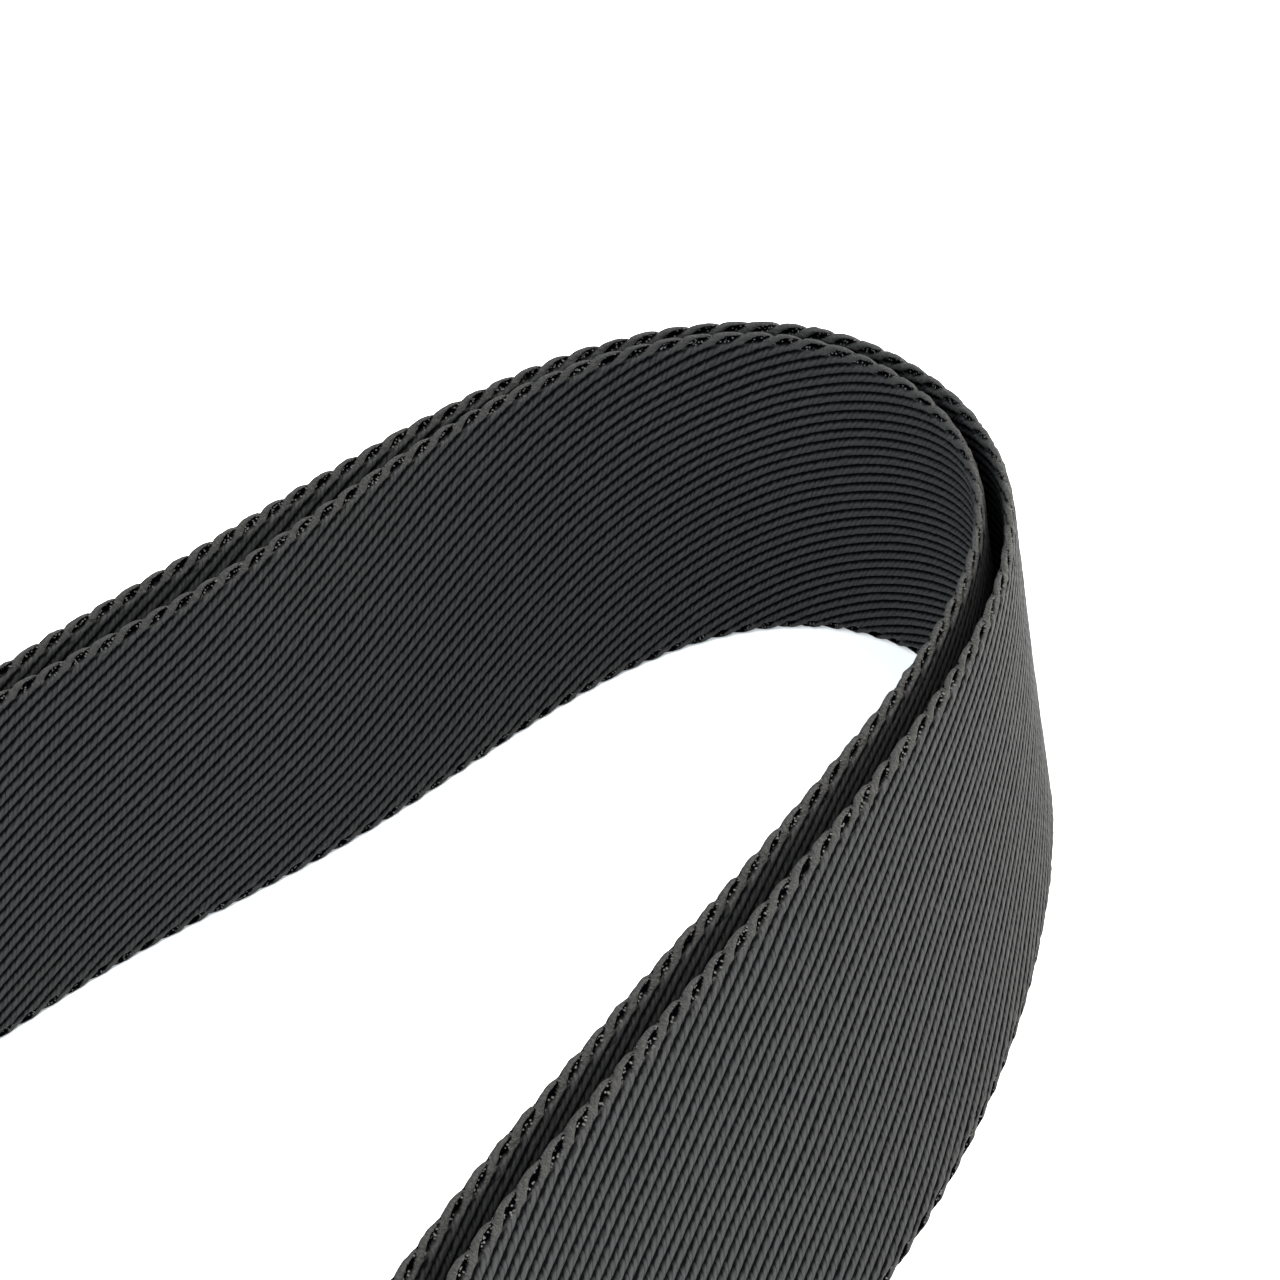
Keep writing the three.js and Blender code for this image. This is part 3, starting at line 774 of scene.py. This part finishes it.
def thread_material():
    m = Nodes("black_bonded_thread", (0.014, 0.014, 0.015), 0.55)
    run, turn, _ = m.split(m.attribute("strand", "Vector"))
    twist = m.math("SINE", (run * 2.6 + turn * 3.0) * (2 * math.pi))
    hairs = m.noise(m.vector(run * 3.0, turn * 18.0), 1.0)
    # The twist is painted dark in the grooves between plies and light on the plies: painted shade.
    m.set("Base Color", m.mix(m.spread(twist, -1.0, 1.0), (0.0035, 0.0035, 0.0040),
                              (0.0170, 0.0170, 0.0176)))
    m.set("Specular IOR Level", 0.2)
    m.set("Roughness", m.spread(hairs, 0.3, 0.7, 0.62, 0.45))
    m.bump(twist * 0.5 + hairs * 0.4, 0.00008, 0.9)
    return m.mat


def floor_material():
    m = Nodes("pale_floor", (0.9, 0.9, 0.9), 0.75)
    cloud = m.noise(m.object_point(), 3.0)
    m.set("Base Color", m.mix(m.spread(cloud, 0.3, 0.7), (0.90, 0.90, 0.895),
                              (0.92, 0.92, 0.92)))
    return m.mat


# ---- pieces


def link(name, data):
    """A new object in the scene."""
    obj = bpy.data.objects.new(name, data)
    bpy.context.scene.collection.objects.link(obj)
    return obj


def put(name, mesh, material, replaced, body=None):
    mesh.materials.append(material)
    obj = link(name, mesh)
    if body:
        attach(obj, body)
    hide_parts(*replaced)
    return obj


WEBBING = webbing_material()
LEATHER = leather_material()
SUEDE = suede_material()
METAL = metal_material()
THREAD = thread_material()


def make_main_webbing():
    strip = main_strip()
    at_bar = strip.nearest(SLIDER_PLACE.plan([(0, R_OVER)])[0], before=300)
    at_loop = strip.nearest(LOOP_PLACE.plan([(LOOP_WRAP, 0)])[0])
    cuts = [0, round(at_bar / COLUMN), round(at_loop / COLUMN), int(strip.length / COLUMN)]
    front, outer, inner = (
        put(f"main_webbing_{name}", webbing_mesh(strip, a, b, name), WEBBING,
            ["main_webbing"])
        for name, a, b in zip(("front_run", "outer_layer", "inner_layer"), cuts, cuts[1:]))
    bar = to_cad(np.array([SLIDER_PLACE.x, SLIDER_PLACE.y, 0.0]))
    bar[0] - 0.018
    bar[0] - 0.060
    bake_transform(front)
    # The line leans, so that it passes the far arm and the loop by.
    start = (bar[0] + 0.184, bar[1], 0.03)
    lean = (-0.8, -0.6)
    reach = 0.104
    end = (start[0] + lean[0] * reach, start[1] + lean[1] * reach, 0.03)
    for piece in (outer, inner):
        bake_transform(piece)
    for piece, a, b, held in zip((front, outer, inner), cuts, cuts[1:],
                                 ("stretched", "folded", "folded")):
        (b - a) * COLUMN * MM


def make_tab():
    strip = tab_strip()
    last = int(strip.length / COLUMN)
    tab = put("tab_webbing_loop", webbing_mesh(strip, 0, last, "tab"), WEBBING,
              ["tab_webbing"], "rear_end")


make_main_webbing()
make_tab()

# ---- leather ends

LEATHER_THICK = 2.0
LEATHER_WIDTH = 56.0
LEATHER_LENGTH = 116.0
LEATHER_CORNER = 5.0
SHOULDER = 62.0
EASE_SHOULDER, EASE_TIP = 18.0, 14.0
TIP_RADIUS = 17.0
TIP_AT = LEATHER_LENGTH - TIP_RADIUS
RAMP = (50.0, 62.0)
FACE_GAP = 0.3
HOLE_X = LEATHER_LENGTH - 22.0
HOLE_R = 4.5
SLIT_HALF = 0.7
SLIT_END = HOLE_X - HOLE_R - 16.0
SEAM_INSET = 4.45
STITCH_PITCH = 3.2
EDGE_ROUND = 0.75            # radius of a leather layer's edges
ANCHOR = (8.0, 38.0, 20.0)


def bezier(p0, p1, p2, p3, n):
    t = np.linspace(0, 1, n)[:, None]
    p0, p1, p2, p3 = (np.array(p, float) for p in (p0, p1, p2, p3))
    return ((1 - t) ** 3 * p0 + 3 * (1 - t) ** 2 * t * p1 + 3 * (1 - t) * t ** 2 * p2
            + t ** 3 * p3)


def upper_outline(inset=0.0):
    """Upper half of a leather end's outline, from the square edge to the tip."""
    h = LEATHER_WIDTH / 2 - inset
    tip = TIP_RADIUS - inset
    corner = max(1.0, LEATHER_CORNER - inset)
    a = np.linspace(math.pi, math.pi / 2, 10)
    points = [(inset, 0.0)]
    points += [(inset + corner + corner * math.cos(t), h - corner + corner * math.sin(t))
               for t in a]
    points += list(map(tuple, bezier((SHOULDER, h), (SHOULDER + EASE_SHOULDER, h),
                                     (TIP_AT - EASE_TIP, tip), (TIP_AT, tip), 40)))
    a = np.linspace(math.pi / 2, 0, 40)[1:]
    points += [(TIP_AT + tip * math.cos(t), tip * math.sin(t)) for t in a]
    return np.array(points)


def along_path(path, pitch):
    """Evenly spaced points on a path."""
    run = run_along(path)
    at = np.linspace(0, run[-1], max(2, round(run[-1] / pitch) + 1))
    return np.column_stack([np.interp(at, run, c) for c in path.T])


def closed_outline(inset):
    up = upper_outline(inset)
    down = up[::-1].copy()
    down[:, 1] *= -1
    return np.vstack([up, down[1:]])


def gap_to(points, targets):
    """Least distance from each point to a set of points."""
    best = np.full(len(points), 1e9)
    for part in np.array_split(targets, max(1, len(targets) // 100)):
        away = points[:, None] - part[None]
        best = np.minimum(best, np.hypot(away[..., 0], away[..., 1]).min(1))
    return best


def gap_to_path(points, path):
    return gap_to(points, along_path(path, 0.4))


def hole_half(x):
    """Half the keyhole's width at a distance along the leather."""
    x = np.asarray(x, float)
    circle = np.sqrt(np.clip(HOLE_R ** 2 - (x - HOLE_X) ** 2, 0, None))
    slit = np.where((x >= SLIT_END) & (x <= HOLE_X), SLIT_HALF, 0.0)
    return np.maximum(circle, slit)


def crossed_box(x0, x1, z0, z1):
    """The paths of a box and its diagonals."""
    return [np.array([(x0, z0), (x1, z0), (x1, z1), (x0, z1), (x0, z0)], float),
            np.array([(x0, z0), (x1, z1)], float), np.array([(x0, z1), (x1, z0)], float)]


SEAMS = [closed_outline(SEAM_INSET)] + crossed_box(ANCHOR[0], ANCHOR[1], -ANCHOR[2], ANCHOR[2])
STITCHES = [along_path(path, STITCH_PITCH) for path in SEAMS]


def leather_columns():
    """Distances along the leather at which its mesh has a column of vertices."""
    lin = np.linspace
    turn = lin(0, math.pi / 2, 9)
    xs = [LEATHER_CORNER * (1 - np.cos(turn)), np.arange(3.2, 6.2, 0.3), lin(5, SLIT_END, 62),
          lin(SLIT_END, HOLE_X - HOLE_R, 18), HOLE_X - HOLE_R * np.cos(lin(0, math.pi, 25)),
          lin(HOLE_X + HOLE_R, TIP_AT, 3), TIP_AT + TIP_RADIUS * np.sin(lin(0, math.pi / 2, 46)),
          np.arange(ANCHOR[0] - 0.9, ANCHOR[0] + 1, 0.3),
          np.arange(ANCHOR[1] - 0.9, ANCHOR[1] + 1, 0.3),
          np.array([SLIT_END - 0.01, SLIT_END + 0.01])]
    xs = np.unique(np.round(np.concatenate(xs), 3))
    xs = xs[np.concatenate([[True], np.diff(xs) > 0.04])]
    xs[-1] = LEATHER_LENGTH
    return xs


class Hide:
    """The vertices of a leather layer in its own plane, and what is near each."""

    def __init__(self):
        xs = leather_columns()
        half_width = np.interp(xs, *upper_outline().T)
        half_width[0] = LEATHER_WIDTH / 2 - LEATHER_CORNER
        half_width[-1] = 0.0
        inner = hole_half(xs)
        # Rows lie closely near the border and its seam, then spread to the hole.
        edge = np.array([0, 0.1, 0.3, 0.6, 1.0, 1.8, 2.8, 3.5, 3.9, 4.2, 4.45, 4.7, 5.0, 5.4, 6.2])
        rest = np.linspace(0, 1, 24)[1:] ** 0.9
        share = np.clip((half_width - inner) / (2 * edge[-1]), 0, 1)
        grid = half_width[:, None] - edge * share[:, None]
        last = grid[:, -1:]
        grid = np.hstack([grid, last + (inner[:, None] - last) * rest])
        index = np.arange(grid.size).reshape(grid.shape)
        self.halves = (index, index + grid.size)
        self.opened = (inner[:-1] > 0) | (inner[1:] > 0)
        self.points = np.concatenate([
            np.column_stack([np.repeat(xs, grid.shape[1]), sign * grid.ravel()])
            for sign in (1, -1)])
        a = np.linspace(-2 * math.pi + 0.16, -0.16, 60)
        hole = np.vstack([(SLIT_END, -SLIT_HALF),
                          np.column_stack([HOLE_X - HOLE_R * np.cos(a), HOLE_R * np.sin(a)]),
                          (SLIT_END, SLIT_HALF), (SLIT_END, -SLIT_HALF)])
        self.to_edge = np.minimum(gap_to_path(self.points, closed_outline(0)),
                                  gap_to_path(self.points, hole) * 1.6)
        for half in self.halves:
            for border in (half[:, 0], half[0, :], half[inner > 0, -1]):
                self.to_edge[border] = 0.0
        seam_gap = np.min([gap_to_path(self.points, path) for path in SEAMS], axis=0)
        stitch_gap = gap_to(self.points, np.concatenate(STITCHES))
        self.press = (0.20 * np.exp(-(seam_gap / 0.62) ** 2)
                      + 0.22 * np.exp(-(stitch_gap / 0.5) ** 2))


HIDE = Hide()


def layer_middle(x, stack):
    """How far a layer's middle lies from the end's own: it covers the webbing, then closes."""
    over, closed = stack / 2 + FACE_GAP, FACE_GAP / 2
    t = np.clip((x - RAMP[0] + 2) / (RAMP[1] - RAMP[0] + 4), 0, 1)
    return LEATHER_THICK / 2 + over + (closed - over) * t * t * (3 - 2 * t)


def leather_mesh(name, place, start, middle, stack, side, nap):
    """One layer of leather, with rounded edges, a keyhole, and seams pressed into it."""
    x, z = HIDE.points.T
    n = len(x)
    round_off = np.sqrt(1 - (1 - np.clip(HIDE.to_edge / EDGE_ROUND, 0, 1)) ** 2)
    wave = 0.10 * noise_at(x / 17, z / 15, 31 + nap)
    base = 0.42 + (LEATHER_THICK / 2 - 0.42) * round_off
    verts = []
    for face, press in ((1, HIDE.press), (-1, 0)):
        height = face * (base - press) + wave * round_off * 0.5
        out = middle + side * (layer_middle(x, stack) + height)
        verts.append(np.column_stack([start + x, out, HARDWARE / 2 + z]))

    def wall(line):
        return np.stack([line[:-1], line[1:], line[1:] + n, line[:-1] + n], 1)

    quads = []
    for half in HIDE.halves:
        a, b = half[:-1], half[1:]
        face = np.stack([a[:, :-1], b[:, :-1], b[:, 1:], a[:, 1:]], -1).reshape(-1, 4)
        quads += [face, face + n, wall(half[:, 0]), wall(half[0, :]),
                  wall(half[:, -1])[HIDE.opened]]
    me = bpy.data.meshes.new(name)
    me.from_pydata(in_place(place, np.concatenate(verts)).tolist(), [],
                   np.concatenate(quads).tolist())
    store(me, "rim", np.tile(1 - np.clip(HIDE.to_edge / 0.7, 0, 1), 2))
    with edited(me) as bm:
        bmesh.ops.remove_doubles(bm, verts=bm.verts, dist=0.00001)
        bmesh.ops.dissolve_degenerate(bm, edges=bm.edges, dist=0.000002)
    return smooth(me)


# ---- stitches


def stitch_mesh(name, runs, radius=0.42):
    """Separate stitches, each a short arched thread between two holes.

    Each run is an array of layout points of the holes, with the outward normal of its face.
    """
    verts, faces, strand = [], [], []
    sides, rings = 8, 9
    turn = np.linspace(0, 2 * math.pi, sides, endpoint=False)
    t = np.linspace(0.04, 0.96, rings)
    arch = 1 - np.abs(2 * t - 1) ** 3
    for holes, n in runs:
        for i, (a, b) in enumerate(zip(holes, holes[1:])):
            length = np.linalg.norm(b - a)
            d = (b - a) / length
            crossway = np.cross(n, d)
            wander = 0.05 * RNG.normal()
            width = radius * (0.62 + 0.38 * arch)[:, None]
            centre = (a + np.outer(t * length, d) + np.outer(0.50 * arch - 0.34, n)
                      + np.outer(wander * (1 - np.abs(2 * t - 1)), crossway))
            ring = (centre[:, None, :] + (width * np.cos(turn))[..., None] * crossway
                    + (0.82 * width * np.sin(turn))[..., None] * n)
            idx = np.arange(rings * sides).reshape(rings, sides) + len(verts) * rings * sides
            nxt = np.roll(idx, -1, axis=1)
            faces += np.stack([idx[:-1], nxt[:-1], nxt[1:], idx[1:]], -1).reshape(-1, 4).tolist()
            faces += [idx[0][::-1].tolist(), idx[-1].tolist()]
            verts.append(ring.reshape(-1, 3))
            strand.append(np.stack([np.repeat(t * length, sides),
                                    np.tile(turn / (2 * math.pi), rings),
                                    np.full(rings * sides, i)], 1))
    me = bpy.data.meshes.new(name)
    me.from_pydata(to_cad(np.concatenate(verts)).tolist(), [], faces)
    store(me, "strand", np.concatenate(strand))
    for p in me.polygons:
        p.use_smooth = True
    return me


def put_stitches(node, place, runs, side, body):
    """Stitches on a face of a standing piece; each run is holes along, out and up."""
    normal = np.array([-math.sin(place.turn), math.cos(place.turn), 0.0]) * side
    runs = [(np.column_stack([place.plan(holes), holes[:, 2]]), normal) for holes in runs]
    put(f"{node}_stitches", stitch_mesh(node, runs), THREAD, [node], body)


def make_leather_end(end, place, start, middle, stack, outwards, body):
    for side, layer, kind, material, slot, nap in (
            (outwards, "outer", "needle", LEATHER, "leather", 0),
            (-outwards, "backing", "bobbin", SUEDE, "backing", 5)):
        node = f"{end}_leather_{layer}"
        mesh = leather_mesh(node, place, start, middle, stack, side, nap)
        put(f"{node}_cut", mesh, material, [node], body)
        for seam, paths in (("border", STITCHES[:1]), ("anchor", STITCHES[1:])):
            runs = []
            for x, z in (path.T for path in paths):
                out = layer_middle(x, stack) + LEATHER_THICK / 2 - 0.12
                runs.append(np.column_stack([start + x, middle + side * out, HARDWARE / 2 + z]))
            put_stitches(f"{end}_{seam}_{kind}_thread", place, runs, side, body)


make_leather_end("front", SLIDER_PLACE, SINGLE, -R_SLIDING, THICK, 1, "webbing")
make_leather_end("rear", LOOP_PLACE, LOOP_PITCH + TAB_FREE, 0.0, 2 * THICK + SEWN_GAP, -1,
                 "rear_end")


def make_fold_threads():
    """The crossed box through the fold, 24 mm by 38 mm over its stitches' outsides."""
    end, inset = -BAR_PITCH - 6.0, 0.45
    box = crossed_box(end - 24.0 + inset, end - inset, (HARDWARE - 38.0) / 2 + inset,
                      (HARDWARE + 38.0) / 2 - inset)
    for kind, y, side in (("bobbin", -R_RETURNING + HALF, 1), ("needle", -R_MAIN - HALF, -1)):
        runs = [np.insert(along_path(path, STITCH_PITCH), 1, y + side * 0.05, axis=1)
                for path in box]
        put_stitches(f"fold_{kind}_thread", SLIDER_PLACE, runs, side, "sewn_fold")


make_fold_threads()

# ---- slider and loop


def swept(name, rows, closed):
    """Mesh through rings of points, closed end to end or capped."""
    n, sides = rows.shape[:2]
    idx = np.arange(n * sides).reshape(n, sides)
    a = idx if closed else idx[:-1]
    b = np.roll(idx, -1, axis=0) if closed else idx[1:]
    quads = np.stack([a, np.roll(a, -1, axis=1), np.roll(b, -1, axis=1), b], -1)
    faces = quads.reshape(-1, 4).tolist()
    if not closed:
        faces += [idx[0][::-1].tolist(), idx[-1].tolist()]
    me = bpy.data.meshes.new(name)
    me.from_pydata(rows.reshape(-1, 3).tolist(), [], faces)
    return me


def rounded_path(x0, z0, x1, z1, r):
    """A closed rectangle with rounded corners, anticlockwise from its lower right."""
    points = []
    for cx, cz, a0 in ((x1 - r, z0 + r, -90), (x1 - r, z1 - r, 0), (x0 + r, z1 - r, 90),
                       (x0 + r, z0 + r, 180)):
        for a in np.radians(np.linspace(a0, a0 + 90, 10)):
            points.append((cx + r * math.cos(a), cz + r * math.sin(a)))
    return np.array(points)


def inwards(path):
    """Unit normals to the left of a closed path."""
    d = np.roll(path, -1, axis=0) - np.roll(path, 1, axis=0)
    d /= np.hypot(*d.T)[:, None]
    return np.column_stack([-d[:, 1], d[:, 0]])


def make_slider():
    """A plate with a rounded opening, its edges eased all round, and a round middle bar."""
    reach = BAR_PITCH + BAR_WIDTH / 2
    inner = BAR_PITCH - BAR_WIDTH / 2
    ease = 0.75
    half = PLATE_THICK / 2
    outline = rounded_path(-reach, 0, reach, HARDWARE, 3.5)
    opening = rounded_path(-inner, RAIL, inner, HARDWARE - RAIL, 1.5)
    rings = []
    steps = np.radians(np.linspace(90, 0, 6))
    for side, into, path, angles in ((1, 1, outline, steps), (-1, 1, outline, steps[::-1]),
                                     (-1, -1, opening, steps), (1, -1, opening, steps[::-1])):
        for a in angles:
            flat = path + into * inwards(path) * ease * (1 - math.cos(a))
            rings.append(np.insert(flat, 1, side * (half - ease * (1 - math.sin(a))), axis=1))
    plate = swept("slider_plate", in_place(SLIDER_PLACE, rings), True)
    sides = 28
    turn = np.linspace(0, 2 * math.pi, sides, endpoint=False)
    low, high = RAIL / 2, HARDWARE - RAIL / 2
    round_bar = MIDDLE_RADIUS
    rings = []
    for z, r in ((low, 1.0), (low + 1.2, round_bar), (low + 2.1, round_bar + 0.35),
                 (low + 2.5, round_bar + 0.12), (low + 3.2, round_bar), (HARDWARE / 2, round_bar),
                 (high - 3.2, round_bar), (high - 2.5, round_bar + 0.12),
                 (high - 2.1, round_bar + 0.35), (high - 1.2, round_bar), (high, 1.0)):
        # Inside the rails the bar stays within the plate.
        flat = min(r, half - 0.02) if z < RAIL or z > HARDWARE - RAIL else r
        rings.append(np.column_stack([r * np.cos(turn), flat * np.sin(turn), np.full(sides, z)]))
    middle = swept("slider_middle", in_place(SLIDER_PLACE, rings), False)
    return joined("slider", plate, middle)


def joined(name, a, b):
    """Two closed meshes made one solid."""
    first, second = (link(me.name, smooth(me)) for me in (a, b))
    mod = first.modifiers.new("union", "BOOLEAN")
    mod.operation = "UNION"
    mod.solver = "EXACT"
    mod.object = second
    deps = bpy.context.evaluated_depsgraph_get()
    me = bpy.data.meshes.new_from_object(first.evaluated_get(deps))
    me.name = name
    for o in (first, second):
        bpy.data.objects.remove(o)
    return smooth(me, 40)


put("slider_frame_eased", make_slider(), METAL, ["slider_frame"], "slider")


def make_loop():
    """Round wire bent to a rectangle, with the swelling of its weld on one short side."""
    r = WIRE / 2
    bend = 2.6
    weld_at = np.linspace(-2.4, 2.4, 13) / (LOOP_PITCH - 2 * bend) + 0.5
    bent = rounded_path(0, r, LOOP_PITCH, HARDWARE - r, bend)
    path = []
    for p, q in zip(bent, np.roll(bent, -1, axis=0)):
        path.append(p)
        if np.hypot(*(q - p)) > 6:
            low = max(p[1], q[1]) < 10
            path += [p + (q - p) * f for f in (weld_at if low else np.linspace(0, 1, 12)[1:-1])]
    path = np.array(path)
    turn = np.linspace(0, 2 * math.pi, 24, endpoint=False)
    from_weld = path[:, 0] - LOOP_PITCH / 2
    swell = 0.16 * np.exp(-(from_weld / 0.7) ** 2) * (path[:, 1] < r + 0.01)
    radius = (r + swell)[:, None]
    out = np.where(np.cos(turn) > 0, r, radius) * np.cos(turn)
    flat = path[:, None] - inwards(path)[:, None] * out[..., None]
    rings = np.stack([flat[..., 0], radius * np.sin(turn), flat[..., 1]], -1)
    return smooth(swept("rectangular_loop_wire", in_place(LOOP_PLACE, rings), True), 60)


put("rectangular_loop_wire", make_loop(), METAL, ["rectangular_loop"], "loop")

# ---- stage, camera, light


def plan_direction(x, y):
    """A level direction of the layout, in the CAD frame."""
    return Vector((PLAN_COS * x - PLAN_SIN * y, PLAN_SIN * x + PLAN_COS * y, 0.0))


def make_stage():
    me = bpy.data.meshes.new("floor")
    n, radius = 96, 6.0
    turns = [2 * math.pi * i / n for i in range(n)]
    ring = [(radius * math.cos(a), radius * math.sin(a), 0.0) for a in turns]
    me.from_pydata(ring, [], [list(range(n))])
    me.materials.append(floor_material())
    floor = link("floor", me)
    floor.location.z = -0.0003


def make_camera():
    # Fitted to the photo's outline together with the strap's bends.
    yaw, pitch, roll = (math.radians(a) for a in (2.644, 43.476, -19.868))
    away = plan_direction(-math.sin(yaw), math.cos(yaw))
    right0 = plan_direction(math.cos(yaw), math.sin(yaw))
    z = Vector((0.0, 0.0, 1.0))
    up0 = away * math.sin(pitch) + z * math.cos(pitch)
    forward = away * math.cos(pitch) - z * math.sin(pitch)
    right = right0 * math.cos(roll) + up0 * math.sin(roll)
    up = up0 * math.cos(roll) - right0 * math.sin(roll)
    camera = bpy.data.cameras.new("camera")
    camera.sensor_width = 36.0
    camera.lens = 70.91
    camera.clip_start = 0.02
    obj = link("camera", camera)
    at = to_cad(np.array([11.56, 14.22, 267.66]))
    turn = Matrix((right, up, -forward)).transposed().to_4x4()
    obj.matrix_world = Matrix.Translation(Vector(at.tolist())) @ turn
    bpy.context.scene.camera = obj


def lamp(name, toward, distance, height, size, power, color):
    data = bpy.data.lights.new(name, "AREA")
    data.shape = "DISK"
    data.size = size
    data.energy = power
    data.color = color
    obj = link(name, data)
    obj.location = toward.normalized() * distance + Vector((0, 0, height))
    obj.rotation_euler = (Vector((0, 0, 0.02)) - obj.location).to_track_quat("-Z", "Y").to_euler()


def make_light():
    world = bpy.data.worlds.new("studio")
    world.use_nodes = True
    back = world.node_tree.nodes["Background"]
    back.inputs["Color"].default_value = (0.89, 0.955, 1.0, 1)
    back.inputs["Strength"].default_value = 2.8
    bpy.context.scene.world = world
    lamp("key", plan_direction(1.0, 0.22), 1.6, 0.42, 0.75, 56, (1.0, 0.95, 0.87))
    lamp("high key", plan_direction(1.0, 0.0), 0.95, 1.25, 0.8, 26, (1.0, 0.96, 0.89))
    lamp("fill", plan_direction(-0.5, -1.0), 1.8, 0.8, 1.4, 30, (0.96, 0.98, 1.0))
    bpy.context.scene.view_settings.view_transform = "Standard"


make_stage()
make_camera()
make_light()
